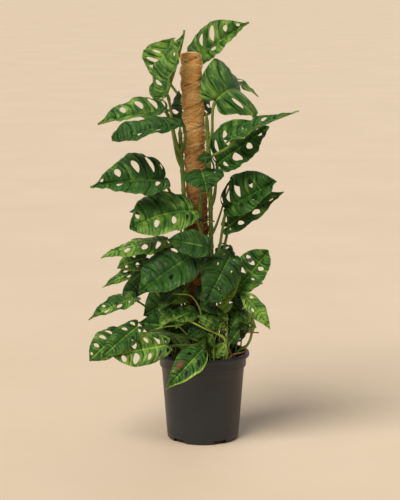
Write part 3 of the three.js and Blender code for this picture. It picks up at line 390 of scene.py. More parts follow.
def coir_radius(turn, height):
    """How far the coir stands out: its slanting bands, slow swells, and a groove under the thread."""
    slant = 2 * pi * height / WINDING_PITCH - turn
    swell = sin(height / 61 + 2 * turn) + 0.7 * sin(height / 23 - turn)
    above = height - THREAD_FOOT - THREAD_PITCH * turn / (2 * pi)
    apart = (above + THREAD_PITCH / 2) % THREAD_PITCH - THREAD_PITCH / 2
    groove = 2.2 * exp(-(apart / 3) ** 2)
    shoulder = COIR_CHAMFER * np.clip((height - COIR_TOP) / COIR_CHAMFER, 0, 1) ** 2
    return COIR_RADIUS + 1.1 * sin(slant) + 0.7 * swell - groove - shoulder


def round_pole(turn, height, out):
    """A point beside the pole: turn runs from the front towards +X, and out is from the axis."""
    aside = np.stack([out * sin(turn), -out * cos(turn), 0 * (turn + height)], -1)
    return pole_axis(height + 0 * turn) + aside


def tubes(paths, radii, sides, reference, tones):
    """Round tubes along many paths at once. A ring's points are the path's point plus the radius times
    cos(turn) along the side (path direction x reference) and sin(turn) along side x direction.
    The point values are the length along the tube, the way round it, and the tube's tone."""
    ahead = np.gradient(paths, axis=1)
    side = np.cross(ahead, reference)
    side /= np.linalg.norm(side, axis=-1, keepdims=True)
    up = np.cross(side, ahead)
    up /= np.linalg.norm(up, axis=-1, keepdims=True)
    turn = np.linspace(0, 2 * pi, sides + 1)[:, None]
    rings = cos(turn) * side[:, :, None] + sin(turn) * up[:, :, None]
    rings = paths[:, :, None] + radii[:, :, None, None] * rings
    first, last = (np.repeat(paths[:, end, None, None], sides + 1, 2) for end in (0, -1))
    rings = np.concatenate([first, rings, last], 1)
    count, rows, columns = rings.shape[:3]
    quads = grid_quads(rows, columns) + rows * columns * np.arange(count)[:, None, None]
    step = np.linalg.norm(np.diff(rings.mean(2), axis=1, prepend=rings[:, :1].mean(2)), axis=-1)
    growth = np.stack(np.broadcast_arrays(
        np.cumsum(step, 1)[:, :, None], turn[:, 0], np.asarray(tones, float)[:, None, None]), -1)
    return rings.reshape(-1, 3), quads.reshape(-1, 4), growth.reshape(-1, 3)


def tube(path, radii, sides, reference, tone):
    """A single tube, whose radius is one number or changes along the path."""
    return tubes(path[None], radii * np.ones((1, len(path))), sides, reference, [tone])


def together(*groups):
    """Several sets of points, quads and point values as one."""
    starts = np.cumsum([0, *[len(group[0]) for group in groups]])
    quads = np.concatenate([group[1] + start for group, start in zip(groups, starts)])
    rest = (np.concatenate(column) for column in zip(*[group[2:] for group in groups]))
    return (np.concatenate([group[0] for group in groups]), quads, *rest)


def tube_piece(name, surface, slot, stands_for, *groups):
    """One piece of one finish from all the tubes of its groups."""
    points, quads, growth = weld(*together(*groups))
    fixed(piece(name, points, quads, [surface], growth=growth), slot, stands_for)


# Coconut fibre: dry, hard and matt, from pale straw to dark brown from one fibre to the next. The
# tone of a fibre, blotches 20 mm wide and its height on the pole set its colour. Real fibres are
# 0.3 mm thick, too fine to show, so they are drawn up to 1.2 mm and their tangle 1.4 mm wide.
coir_fibre, tree, place = material("coconut_fibre")
raised = node(tree, "SeparateXYZ", {0: place}).outputs["Z"]
_, _, _, shade = point_values(tree, "growth")
blotch = node(tree, "TexNoise", {"Vector": place, "Scale": 45, "Detail": 4})
tangle = node(tree, "TexNoise", {"Vector": place, "Scale": 700, "Detail": 4, "Roughness": 0.7})
mixed = node(tree, "Math", {0: blotch, 1: 0.5, 2: shade}, operation="MULTIPLY_ADD")
dry = node(tree, "Mix", {0: mixed, 6: "#d8903c", 7: "#fff0b4"}, data_type="RGBA")
damp = node(tree, "Mix", {0: mixed, 6: "#59331b", 7: "#c98a4c"}, data_type="RGBA")
level = node(tree, "Math", {0: blotch, 1: 0.2, 2: raised}, operation="MULTIPLY_ADD")
wet = node(tree, "MapRange", {"Value": level, "From Min": 0.72, "From Max": 0.56})
finished(tree, wet, dry, damp, 0.85, (tangle, 0.8, 0.0008), {"Specular IOR Level": 0.3})

# The mat under the fibres: the coir's whole surface, closed at its foot and its cut top. Its tone is
# set low as painted shade, which darkens the gaps between the fibres.
top = POLE_TOP[2]
height = np.linspace(COIR_FOOT + 3, top, COIR_ROWS)
height = np.concatenate([[COIR_FOOT, COIR_FOOT], height, [top + 1, top + 1.4]])
inward = np.ones(len(height))
inward[[0, -2, -1]] = 0, 0.5, 0
turn = np.linspace(0, 2 * pi, COIR_SIDES + 1)
out = coir_radius(turn, np.minimum(height, top)[:, None]) * inward[:, None]
points, quads = weld(round_pole(turn, height[:, None], out).reshape(-1, 3),
                     grid_quads(len(height), COIR_SIDES + 1)[:, ::-1])
mat = piece("coir_mat", points, quads, [coir_fibre], growth=np.full((len(points), 3), MAT_TONE))
fixed(mat, "coir", "pole_coir")

# The fibres on the mat: each runs part of the way round it at a slant, dips in at both ends and
# bows out between them. One in sixteen has come loose and stands off at its far end.
draw = np.random.default_rng(23)
share = np.linspace(0, 1, FIBRE_POINTS)
start = each(0, 2 * pi, FIBRES)
span = each(0.8, 3.0, FIBRES)
low = each(FIBRES_FROM, top - 1, FIBRES)
rise = span * draw.normal(4, 7, (FIBRES, 1))
loose = each(0, 1, FIBRES) < LOOSE_SHARE
sway = each(0.3, 1.8, FIBRES) * sin(2 * pi * share + each(0, 6, FIBRES))
turn = start + span * share
height = np.clip(low + rise * share + sway, COIR_FOOT, top - 0.3)
lift = each(0.5, 2.4, FIBRES) * sin(pi * share) ** 0.7 - 0.5
lift += loose * each(2, 6, FIBRES) * share ** 2
paths = round_pole(turn, height, coir_radius(turn, height) + lift)
radii = each(0.25, 0.62, FIBRES) * np.array([0.6, *[1] * (FIBRE_POINTS - 2), 0.5])
wound = tubes(paths, radii, 3, paths - pole_axis(paths[..., 2]), draw.uniform(0, 1, FIBRES) ** 1.3)

# The cut top: short fibres that cross it in every direction, each a chord of a circle.
heading = each(0, 2 * pi, CUT_FIBRES)
aside = each(-CUT_ASIDE, CUT_ASIDE, CUT_FIBRES)
x, y = swung(np.sqrt(CUT_RADIUS ** 2 - aside ** 2) * (2 * share - 1), aside, heading)
z = top - 1.2 + each(0.8, 3, CUT_FIBRES) * sin(pi * share)
paths, radii = np.stack([x + POLE_TOP[0], y, z], -1), np.full((CUT_FIBRES, FIBRE_POINTS), CUT_FIBRE_RADIUS)
crossing = tubes(paths, radii, 3, (0, 0, 1), draw.uniform(0.2, 1, CUT_FIBRES))
tube_piece("coir_fibres", coir_fibre, "coir", None, wound, crossing)


def twisted(name, dark, pale, roughness, turning, strength, depth):
    """A cord of twisted plies: stripes whose tone and height are the sine of the place along the cord
    times its turning, plus the way round it. Each stripe is darker where it is lower, which is painted
    shade in the grooves between the plies."""
    made, tree, _ = material(name)
    _, along, around, _ = point_values(tree, "growth")
    ply = node(tree, "Math", {0: along, 1: turning, 2: around}, operation="MULTIPLY_ADD")
    twist = node(tree, "Math", {0: ply}, operation="SINE")
    finished(tree, twist, dark, pale, roughness, (twist, strength, depth))
    return made


# Binding thread: two-ply jute, tarred, so it is dark brown and dull, with a ply every 2.5 mm. It is
# wound on a rising helix in its own groove.
jute = twisted("tarred_jute_thread", "#2b190e", "#543420", 0.8, 2.5, 0.6, 0.0003)
turn = np.linspace(*THREAD_TURNS, 620) * 2 * pi
height = THREAD_FOOT + THREAD_PITCH * turn / (2 * pi)
path = round_pole(turn, height, coir_radius(turn, height) + 0.8)
tube_piece("binding_thread", jute, "coir", None,
           tube(path, THREAD_RADIUS, 6, path - pole_axis(path[:, 2]), 0.5))

# ---- Leaf blades -----------------------------------------------------------------------------
# Each blade is one thin leathery leaf with holes between its side veins. It is folded along its
# midrib, arched, quilted between the veins and wavy at its margin, and hangs on its own stalk.

BLADE_THICKNESS, USUAL_WIDTH = 0.8, 110
LOBE_ANGLE, DRIP_TIP, DRIP_ANGLE, VEIN_BOW = 0.4, 0.05, 0.28, 0.05
WAVES, WAVE_SHIFT = 2.6, 1.7
QUILT, CREASE, FLUTTER, SWELL = 3.2, 1.8, 1.2, 2
HOLE_LEAST, HOLE_WIDE, HOLE_LONG, LARGEST_HOLE = 0.1, 0.16, 0.26, 10
MIDRIB_RADIUS = 1.7


def grown(name, base, tip, face, width, stem, height, tone=0.4, fold=(12, 12), arch=20, cup=20, wave=3,
          phase=0, sweep=0, taper=0.75, lobe=0.12, strips=7, holes=((7, 8), (7, 4)), via=None, rim=0,
          dry=None, cells=(8, 14, 5)):
    """A leaf's numbers by name. base and tip are the ends of the midrib, and face is the way the upper
    side looks. stem and height say where on which vine the stalk starts, and via is a place that it
    bends through. Angles are in degrees: arch bends the midrib, fold lifts the left and right halves
    and cup turns their edges down. sweep bows the midrib sideways. wave is the height of the waves,
    phase shifts them, and taper and lobe shape the tip and the base. holes gives tenths of the largest
    size for the hole in each strip between side veins, on the left and on the right, from the second
    strip on. tone goes from 0, old and dark, to 1, young and pale, and rim is added to it along the
    left margin. dry is a brown spot: mm along and across, length and width. cells counts the mesh's
    cells across a strip, out from the midrib, and from a strip's border to its hole."""
    return SimpleNamespace(**locals())


LEAVES = [
    grown("crown_right", (-6, 74, 777), (92, 10, 846), (-0.25, -0.8, 0.5), 94, "back", 690, tone=0.5,
          fold=(20, 36), arch=8, cup=15, wave=2, taper=1, lobe=0.22, holes=((0, 6, 9, 4, 5), (0, 0, 6))),
    grown("crown_left", (-73, -40, 706), (-36, -20, 832), (-0.77, -0.64, 0.1), 92, "left", 585, tone=0.52,
          fold=(30, 44), arch=12, cup=12, wave=5, phase=2, sweep=-9, taper=1.3, holes=((0, 4, 0, 5), ())),
    grown("crown_round", (-75, 60, 738), (-62, 86, 806), (-0.15, -0.95, 0.2), 112, "back", 640, tone=0.6,
          fold=(6, 80), wave=2, taper=-0.2, lobe=0.16, holes=((3, 6, 8, 3), ())),
    grown("crown_back", (48, 100, 732), (114, 100, 691), (0.15, -0.3, 1), 40, "back", 715, tone=0.6,
          fold=(15, 15), arch=16, strips=5),
    grown("upper_left_high", (-74, 12, 670), (-210, -6, 644), (-0.05, -0.78, 0.62), 80, "left", 560,
          tone=0.52, fold=(56, 12), arch=22, cup=25, wave=5, taper=0.6, lobe=0.06,
          holes=((4, 5, 3), (5, 10, 6, 5))),
    grown("upper_left_front", (-38, -58, 648), (-178, -78, 619), (0, -0.7, 0.7), 74, "left", 590, tone=0.34,
          fold=(46, 6), arch=24, cup=25, wave=4, taper=-0.4, lobe=0.02, holes=((3, 6, 5, 7), (3, 3)),
          via=(-34, -52, 610)),
    # upper_left_back's low tone is painted shade: it hangs in the shade behind the pole.
    grown("upper_left_back", (-40, 36, 645), (-49, 46, 708), (-0.6, -0.7, 0.3), 46, "back", 560, tone=0.15,
          arch=30, strips=5),
    grown("middle_left_high", (-78, -34, 537), (-223, -66, 526), (-0.1, -0.86, 0.5), 128, "left", 440,
          tone=0.42, fold=(50, 5), arch=26, cup=22, wave=4, taper=1.2, lobe=0.05,
          holes=((0, 5, 0, 6), (1, 7, 5, 5, 3))),
    grown("middle_left_front", (-20, -56, 477), (-144, -84, 444), (-0.1, -0.86, 0.5), 112, "front", 400,
          tone=0.5, fold=(36, 5), arch=24, cup=28, wave=4, sweep=-8, taper=0.05, lobe=0.08,
          holes=((3, 3, 4, 5), (2, 0, 0, 0, 5))),
    grown("middle_left_behind", (-56, -36, 480), (-147, -46, 473), (0, -0.8, 0.6), 50, "left", 400,
          tone=0.3, strips=5, holes=((5, 8), (5,))),
    grown("middle_left_low", (-76, -38, 417), (-202, -80, 386), (0, -0.5, 0.87), 70, "left", 300, tone=0.58,
          fold=(6, -18), arch=30, wave=4, taper=0.9, holes=((4, 8, 7, 6, 3), (4, 8, 6, 3))),
    grown("middle_left_back", (-40, 42, 468), (-100, 110, 462), (-0.4, 0.6, 0.7), 70, "back", 400,
          tone=0.45, arch=35, strips=5),
    grown("middle_left_small", (-115, -20, 376), (-173, -36, 358), (0, -0.7, 0.7), 52, "left", 265,
          tone=0.5, wave=2, strips=5, holes=((0, 6, 4), (0, 5))),
    grown("centre_left_low", (-14, -66, 394), (-127, -96, 318), (-0.1, -0.8, 0.6), 112, "front", 290,
          tone=0.32, fold=(30, 8), arch=26, cup=30, wave=5, taper=0.5, strips=6, holes=((3, 0, 2), (0, 2))),
    grown("centre_front_low", (10, -106, 412), (-72, -120, 429), (0, -0.8, 0.6), 58, "front", 374, tone=0.3,
          fold=(14, 18), arch=18, cup=25, wave=4, strips=6, holes=((), (0, 5))),
    grown("centre_bright", (-3, -68, 557), (8, -114, 517), (0, -0.6, 0.8), 84, "front", 470, tone=0.35,
          fold=(4, 4), arch=50, cup=15, wave=2, taper=1.6, lobe=0.14, strips=6, holes=((2, 3), (4,))),
    grown("centre_dark", (14, -80, 587), (-12, -82, 582), (0.1, -0.7, 0.7), 26, "right", 535, tone=0.15,
          wave=2, strips=5, holes=((0, 3), ())),
    grown("centre_hanging", (53, -84, 389), (2, -114, 298), (0.25, -0.9, 0.35), 74, "right", 300, tone=0.25,
          fold=(16, 10), arch=16, cup=25, strips=6, holes=((4, 3), (5, 3))),
    grown("centre_behind", (31, 18, 390), (67, 12, 368), (0.1, -0.5, 0.8), 44, "right", 310, tone=0.3,
          strips=5, holes=((3, 4), (5, 3))),
    grown("upper_right_heart", (26, -32, 695), (75, 55, 684), (0.3, -0.45, 0.8), 144, "right", 600,
          tone=0.5, fold=(22, -12), arch=120, cup=8, sweep=2, taper=-0.1, lobe=0.16, strips=6,
          holes=((), (0, 5))),
    grown("upper_right_wide", (29, -34, 569), (130, -54, 645), (0.1, -0.92, 0.3), 116, "right", 480,
          tone=0.36, fold=(12, 58), arch=14, cup=16, wave=4, taper=0.35, lobe=0.03,
          holes=((10, 5, 7, 8, 3), (8, 5, 10, 6, 6))),
    grown("upper_right_edge", (56, -100, 623), (186, -104, 680), (0.03, -0.1, 1), 64, "right", 552,
          tone=0.42, fold=(34, 14), arch=10, cup=15, wave=4, taper=1.6, lobe=0.14, strips=6,
          holes=((3, 4, 3), (3, 4)), via=(-18, -66, 588)),
    grown("upper_right_hidden", (-6, 32, 672), (2, 88, 706), (0.5, 0.6, 0.6), 60, "back", 590, arch=35,
          strips=5),
    grown("middle_right_high", (46, -44, 480), (145, -80, 539), (0.1, -0.95, 0.25), 100, "right", 350,
          tone=0.36, fold=(6, 66), arch=14, wave=4, taper=0.1, lobe=0.04,
          holes=((6, 9, 10, 5), (4, 0, 5, 9))),
    grown("middle_right_behind", (60, 20, 528), (120, 14, 535), (0.1, -0.85, 0.5), 30, "right", 420,
          tone=0.3, arch=18, strips=6, holes=((4, 6, 5), (4, 4))),
    grown("middle_right_low", (50, -20, 440), (161, -44, 514), (0.1, -0.7, 0.7), 66, "right", 325,
          tone=0.36, fold=(14, 24), arch=16, strips=6, holes=((4, 5, 3), (4, 6, 7, 5))),
    grown("middle_right_back", (-4, 44, 498), (-8, 100, 512), (0.5, 0.6, 0.7), 42, "back", 430, tone=0.45,
          arch=35, strips=5),
    grown("lower_right", (72, -52, 319), (131, -44, 396), (0.15, -0.95, 0.3), 76, "side", 235, tone=0.45,
          fold=(10, 56), arch=10, wave=4, taper=0.05, holes=((2, 4, 7, 10), (0, 0, 3, 6))),
    grown("lower_right_tip", (87, -80, 306), (133, -104, 247), (0.3, -0.85, 0.45), 40, "side", 262,
          tone=0.6, fold=(60, 20), strips=5, holes=((5,), (5, 4))),
    grown("lower_right_back", (39, 50, 330), (112, 112, 350), (0.4, 0.5, 0.75), 88, "back", 260, tone=0.5,
          arch=30, strips=5),
    grown("lower_left_high", (-123, -20, 353), (-202, -50, 321), (0, -0.55, 0.85), 34, "left", 240,
          tone=0.5, taper=1.1, strips=5, holes=((4, 4), (4, 3))),
    grown("lower_left_dark", (-108, 10, 334), (-167, -4, 287), (-0.1, -0.85, 0.5), 48, "back", 225,
          tone=0.2, strips=5, holes=((5, 3), (4,))),
    grown("lower_left_mid", (-138, -56, 301), (-227, -90, 263), (-0.05, -0.6, 0.8), 55, "left", 205,
          tone=0.45, fold=(30, 4), arch=24, taper=0.9, holes=((0, 3, 9, 10), (0, 3, 0, 3)),
          via=(-112, 66, 250)),
    grown("lower_left_front", (-130, -112, 254), (-201, -138, 195), (-0.1, -0.85, 0.5), 48, "low", 205,
          tone=0.42, fold=(10, 24), cup=25, wave=4, strips=6, holes=((5, 3), (6, 4))),
    grown("lower_left_edge", (-168, -62, 229), (-227, -84, 178), (-0.25, -0.85, 0.45), 64, "low", 215,
          tone=0.5, arch=16, wave=4, taper=0.5, holes=((0, 3, 3), (0, 8, 5, 6, 4))),
    grown("lower_left_open", (-73, -104, 215), (-177, -130, 199), (0, -0.9, 0.4), 66, "low", 196, tone=0.6,
          fold=(10, 10), arch=18, taper=0, holes=((7, 5, 4, 10, 10), (6, 10, 3, 10, 4))),
    grown("lower_left_inner", (-58, -30, 295), (-121, -34, 260), (-0.1, -0.95, 0.25), 76, "left", 205,
          tone=0.35, arch=10, strips=5, holes=((4, 3), (5,))),
    grown("lower_left_shade", (-46, -52, 240), (-131, -52, 250), (0, -1, 0.1), 60, "front", 205, tone=0.35,
          fold=(10, 6), arch=12, strips=5, holes=((4,), (5,))),
    grown("over_pot", (0, -114, 210), (-76, -134, 129), (-0.25, -0.9, 0.3), 56, "front", 225, fold=(8, 30),
          arch=14, wave=4, taper=1.2, lobe=0.03, strips=6, holes=((6, 5, 4), (5, 3)), rim=0.8,
          dry=(55, -12, 11, 4.6)),
]


def vein_point(leaf, angle, reach):
    """A place on the flat blade, with its length and half-width as units. angle runs along the margin
    from 0 at the base to pi at the tip, and reach along a side vein from midrib to margin. The
    margin is an ellipse, narrowed by a power of cos(angle/2), with two lobes and a drip tip."""
    widest = np.arctan(np.sqrt(1 / (1 + leaf.taper)))
    broad = 2 * sin(widest) * cos(widest) ** (1 + leaf.taper)
    back = angle / LOBE_ANGLE * exp((1 - (angle / LOBE_ANGLE) ** 2) / 2)
    drip = DRIP_TIP * exp(-((pi - angle) / DRIP_ANGLE) ** 2)
    along = ((1 - cos(angle)) / 2 + drip) / (1 + DRIP_TIP) - leaf.lobe * back
    out = sin(angle) * np.abs(cos(angle / 2)) ** leaf.taper / broad
    foot = np.maximum(0, sin(angle / 2) ** 3 - 0.02) / 0.98
    bow = VEIN_BOW * 4 * reach * (1 - reach) * sin(angle) * out
    return foot + (along - foot) * reach - bow, out * reach


def blade_axes(leaf):
    """The blade's base, its directions along, to the left and up, and the length of its chord."""
    base, tip, face = np.array([leaf.base, leaf.tip, leaf.face], float)
    chord = np.linalg.norm(tip - base)
    along = (tip - base) / chord
    up = face - along * (face @ along)
    up /= np.linalg.norm(up)
    return base, along, np.cross(up, along), up, chord


def blade_point(leaf, along, across):
    """The flat blade bent into the leaf. The midrib is an arc, which sweep bows sideways. Each half is
    an arc that starts at its fold angle, with waves that grow with the square of the reach."""
    base, forward, left, up, chord = blade_axes(leaf)
    right = across < 0
    reach = np.abs(across)
    arch, cup = np.radians(leaf.arch), np.radians(leaf.cup)
    length = chord * (arch / 2) / sin(arch / 2)
    slope = arch / 2 - arch * along
    half = leaf.width / 2
    fold = np.radians(np.where(right, leaf.fold[1], leaf.fold[0]))
    out = np.where(right, -1, 1) * half * (sin(fold) - sin(fold - cup * reach)) / cup
    wave = sin(2 * pi * WAVES * along + leaf.phase + WAVE_SHIFT * right)
    rise = half * (cos(fold - cup * reach) - cos(fold)) / cup + leaf.wave * reach ** 2 * wave
    aside = out + leaf.sweep * 4 * along * (1 - along)
    run = length / arch * (sin(arch / 2) - sin(slope)) - rise * sin(slope)
    climb = length / arch * (cos(slope) - cos(arch / 2)) + rise * cos(slope)
    return base + run[:, None] * forward + aside[:, None] * left + climb[:, None] * up


def blade_normal(leaf, along, across, step=0.01):
    """The way the bent blade faces: the cross product of small steps along and across it."""
    lengthwise = blade_point(leaf, along + step, across) - blade_point(leaf, along - step, across)
    crosswise = blade_point(leaf, along, across + step) - blade_point(leaf, along, across - step)
    normal = np.cross(lengthwise, crosswise)
    return normal / np.linalg.norm(normal, axis=-1, keepdims=True)


def strip_patch(first, last, hole, cells):
    """A strip between two side veins, as a grid of margin angles and reaches. A strip with a hole is a
    set of rings that go from the strip's border to the hole, an oval a little wider outwards."""
    wide, outward, rings = cells
    angle, reach = np.linspace(first, last, wide + 1), np.linspace(0, 1, outward + 1)
    if not hole:
        return np.stack(np.meshgrid(angle, reach, indexing="ij"), -1)
    corner_angle = np.concatenate([angle, np.full(outward, last), angle[-2::-1], np.full(outward, first)])
    corner_reach = np.concatenate([np.zeros(wide + 1), reach[1:], np.ones(wide), reach[-2::-1]])
    middle = (first + last) / 2
    turn = np.arctan2((corner_angle - middle) / (last - first), corner_reach - 0.5)
    aside = (HOLE_LEAST + HOLE_WIDE * hole) * (0.9 + 0.2 * cos(turn)) * sin(turn) * np.abs(sin(turn)) ** 0.4
    out = 0.5 + (HOLE_LEAST + HOLE_LONG * hole) * cos(turn)
    oval = np.stack([middle + (last - first) * aside, out], -1)
    border = np.stack([corner_angle, corner_reach], -1)
    inward = np.linspace(0, 1, rings + 1)[:, None]
    return border[:, None] * (1 - inward) + oval[:, None] * inward


def relief(leaf, angle, reach, along, across):
    """The fine form of the upper side: it swells between the side veins, sinks along the midrib and
    flutters at the margin, all in proportion to the blade's width."""
    quilt = np.abs(sin(angle * leaf.strips)) ** 0.7 * 4 * reach * (1 - 0.85 * reach)
    quilt += 0.8 * np.abs(sin(2 * angle * leaf.strips + 0.5 * sin(6 * reach))) * reach ** 0.5
    quilt *= 1 - 0.8 * reach ** 6
    crease = exp(-(across * leaf.width / 2 / 3) ** 2)
    flutter = reach ** 3 * (sin(34 * along + 3 * leaf.phase) + 0.6 * sin(57 * along + across * 4))
    slow = sin(9 * along + 5 * across + leaf.width) * reach
    return leaf.width / USUAL_WIDTH * (QUILT * quilt - CREASE * crease + FLUTTER * flutter + SWELL * slow)


def blade_surface(leaf):
    """The whole blade: its strips on both halves, welded, then given a thickness and edge walls.
    Gives points, quads, finish (0 above, 1 below), growth (mm along, mm across, tone) and veins
    (strip number, reach, dryness)."""
    border = pi * np.arange(leaf.strips + 1) / leaf.strips
    flat, quads, count = [], [], 0
    for side, sizes in zip((1, -1), leaf.holes):
        sizes = [0, *sizes, *[0] * leaf.strips]
        for strip in range(leaf.strips):
            patch = strip_patch(border[strip], border[strip + 1], sizes[strip] / LARGEST_HOLE, leaf.cells)
            size = patch[..., 0].size
            flat.append(np.concatenate([patch.reshape(-1, 2), np.full((size, 1), side)], 1))
            quads.append(grid_quads(*patch.shape[:2])[:, ::side] + count)
            count += size
    angle, reach, side = np.concatenate(flat).T
    along, across = vein_point(leaf, angle, reach)
    across = across * side
    normal = blade_normal(leaf, along, across)
    points = blade_point(leaf, along, across)
    points += normal * relief(leaf, angle, reach, along, across)[:, None]
    tone = leaf.tone + leaf.rim * np.clip(5 * reach - 4, 0, 1) * (side > 0)
    growth = np.stack([along * blade_axes(leaf)[4], across * leaf.width / 2, tone], -1)
    veins = np.stack([angle * leaf.strips / pi, reach, 0 * reach], -1)
    if leaf.dry:
        x, y, length, width = leaf.dry
        veins[:, 2] = exp(-(((growth[:, 0] - x) / length) ** 2 + ((growth[:, 1] - y) / width) ** 2) ** 2)
    points, quads, normal, growth, veins = weld(points, np.concatenate(quads), normal, growth, veins)
    count = len(points)
    above, below = points + normal * BLADE_THICKNESS / 2, points - normal * BLADE_THICKNESS / 2
    start, end = quads.ravel(), np.roll(quads, -1, axis=1).ravel()
    open_edge = (start != end) & ~np.isin(start * count + end, end * count + start)
    start, end = start[open_edge], end[open_edge]
    wall = np.stack([start + count, end + count, end, start], -1)
    finish = np.repeat([0, 1], [len(quads), len(quads) + len(wall)])
    return (np.concatenate([above, below]), np.concatenate([quads, quads[:, ::-1] + count, wall]), finish,
            np.tile(growth, (2, 1)), np.tile(veins, (2, 1)))


def fleshy(points, quads, growth):
    """A stem's mesh with the values that a blade has, so that both fit in one piece."""
    points, quads, growth = weld(points, quads, growth)
    return points, quads, np.full(len(quads), 2), growth, 0 * growth


def midrib(leaf, thickness):
    """The midrib: a round cord half sunk in the blade, which thins towards the tip."""
    along = np.linspace(0.0, 0.96, 26)
    thick = thickness * (1 - 0.8 * along)
    normal = blade_normal(leaf, along, 0 * along)
    sunk = relief(leaf, pi * along, 0 * along, along, 0 * along) - 0.5 * thick
    path = blade_point(leaf, along, 0 * along) + normal * sunk[:, None]
    return fleshy(*tube(path, thick, 8, normal, leaf.tone))


def leaf_skin(name, old, mature, young, rib_gain, least_roughness):
    """One side of a blade. A single level sets the colour from old through mature to young: the
    blade's tone, mottling 26 mm wide, streaks a third of a strip wide along the side veins, and gains
    on the side veins, their branches, a net of cells 3 mm wide, the midrib and the margin. The streaks
    are partly the leaf's own colour and partly painted light and shade on its quilting: they also raise
    the surface, so they are pale on its ridges and dark in its hollows. The side veins and their branches
    are painted darker, which is painted shade in their sunken creases."""
    skin, tree, place = material(name)
    growth, _, across, level = point_values(tree, "growth")
    veins, strip, reach, dryness = point_values(tree, "veins")
    mottle = node(tree, "TexNoise", {"Vector": place, "Scale": 38, "Detail": 5, "Roughness": 0.6})
    drift = node(tree, "VectorMath", {0: place, 3: 12}, operation="SCALE")
    drawn = node(tree, "VectorMath", {0: veins, 1: (3.4, 1.3, 0), 2: drift}, operation="MULTIPLY_ADD")
    streak = node(tree, "TexNoise", {"Vector": drawn, "Scale": 1, "Detail": 3, "Roughness": 0.6})
    cells = node(tree, "TexVoronoi", {"Vector": growth, "Scale": 0.3}, feature="DISTANCE_TO_EDGE")
    fading = {"To Min": 1, "To Max": 0}
    apart = node(tree, "Math", {0: strip, 1: 0.5}, operation="PINGPONG")
    vein = node(tree, "MapRange", {"Value": apart, "From Max": 0.05, **fading},
                interpolation_type="SMOOTHSTEP")
    apart = node(tree, "Math", {0: mottle, 1: 0.5, 2: strip}, operation="MULTIPLY_ADD")
    apart = node(tree, "Math", {0: apart, 1: 0.125}, operation="PINGPONG")
    branch = node(tree, "MapRange", {"Value": apart, "From Max": 0.03, **fading})
    net = node(tree, "MapRange", {"Value": cells, "From Max": 0.1, **fading})
    apart = node(tree, "Math", {0: across}, operation="ABSOLUTE")
    rib = node(tree, "MapRange", {"Value": apart, "From Min": 0.4, "From Max": 2.4, **fading},
               interpolation_type="SMOOTHSTEP")
    edge = node(tree, "MapRange", {"Value": reach, "From Min": 0.95, "From Max": 1})
    # The streak's gain is partly painted light and shade on the quilting, and the negative gains of vein and
    # branch are painted shade in the creases of the side veins.
    for mask, gain in ((streak, 0.75), (mottle, 0.85), (vein, -0.1), (branch, -0.08), (net, 0.04),
                       (rib, rib_gain), (edge, 0.12)):
        level = node(tree, "Math", {0: mask, 1: gain, 2: level}, operation="MULTIPLY_ADD")
    tone = old
    for colour, low, high in ((mature, 0.75, 1.25), (young, 1.25, 1.7)):
        share = node(tree, "MapRange", {"Value": level, "From Min": low, "From Max": high})
        tone = node(tree, "Mix", {0: share, 6: tone, 7: colour}, data_type="RGBA")
    height = mottle
    for mask, gain in ((streak, 2.5), (vein, -0.8), (branch, -0.4), (net, -0.25)):
        height = node(tree, "Math", {0: mask, 1: gain, 2: height}, operation="MULTIPLY_ADD")
    shine = node(tree, "MapRange", {"Value": mottle, "To Min": least_roughness,
                                    "To Max": least_roughness + 0.2})
    finished(tree, dryness, tone, "#8a5238", shine, (height, 1.0, 0.0022),
             {"IOR": 1.4, "Specular IOR Level": 0.6})
    return skin


def stem_skin(name, dark, pale, roughness):
    """A stem: streaks 17 mm long that run along it, some twenty round it, and blotches
    17 mm wide, mixed with the stem's own tone."""
    skin, tree, place = material(name)
    growth, _, _, level = point_values(tree, "growth")
    drawn = node(tree, "Mapping", {"Vector": growth, "Scale": (0.04, 2.5, 3)})
    streak = node(tree, "TexNoise", {"Vector": drawn, "Scale": 1.5, "Detail": 4})
    blotch = node(tree, "TexNoise", {"Vector": place, "Scale": 60, "Detail": 3})
    for mask in (streak, blotch):
        level = node(tree, "Math", {0: mask, 1: 0.5, 2: level}, operation="MULTIPLY_ADD")
    share = node(tree, "MapRange", {"Value": level, "From Min": 0.5, "From Max": 1.4})
    finished(tree, share, dark, pale, roughness, (streak, 0.35, 0.0005), {"IOR": 1.45})
    return skin


# The upper side has a waxy skin, deep green and satin, that shows the leaf's relief in its
# highlights. The lower side has no wax: it is paler, duller and more even. Stalks and vines are
# fleshy and smooth, yellow-green, and shine a little where they are wet.
waxy_side = leaf_skin("waxy_upper_side", "#092006", "#30641a", "#a6d25a", 0.3, 0.3)
pale_side = leaf_skin("matt_lower_side", "#2c4816", "#5b7f30", "#a2bb58", 0.2, 0.5)
green_stem = stem_skin("fleshy_green_stem", "#2f4d14", "#9db64c", 0.42)


def leaf_piece(name, slot, stands_for, *groups):
    """One piece from blades, midribs and stems."""
    points, quads, finish, growth, veins = together(*groups)
    skins = [waxy_side, pale_side, green_stem]
    fixed(piece(name, points, quads, skins, finish, growth=growth, veins=veins), slot, stands_for)


for leaf in LEAVES:
    rib = midrib(leaf, MIDRIB_RADIUS * (leaf.width / USUAL_WIDTH) ** 0.6)
    leaf_piece("blade_" + leaf.name, "leaf", "leaf_" + leaf.name, blade_surface(leaf), rib)

# ---- Vines and leaf stalks -------------------------------------------------------------------
# Fleshy climbing stems with a swollen ring at each node. From a node grows one leaf stalk: it is
# thick and sheathed at its foot, thins upwards, and has a swollen joint just under its blade.

VINE_DISTANCE, VINE_RADIUS, CREEPER_RADIUS, VINE_FOOT, NODE_SPACING, VINE_TONE = 30, 4.8, 3, 96, 38, 0.3
NARROW_BLADE, SHADE_HEIGHT = 56, 230
ROOTS_PER_VINE, ROOT_POINTS = 26, 10

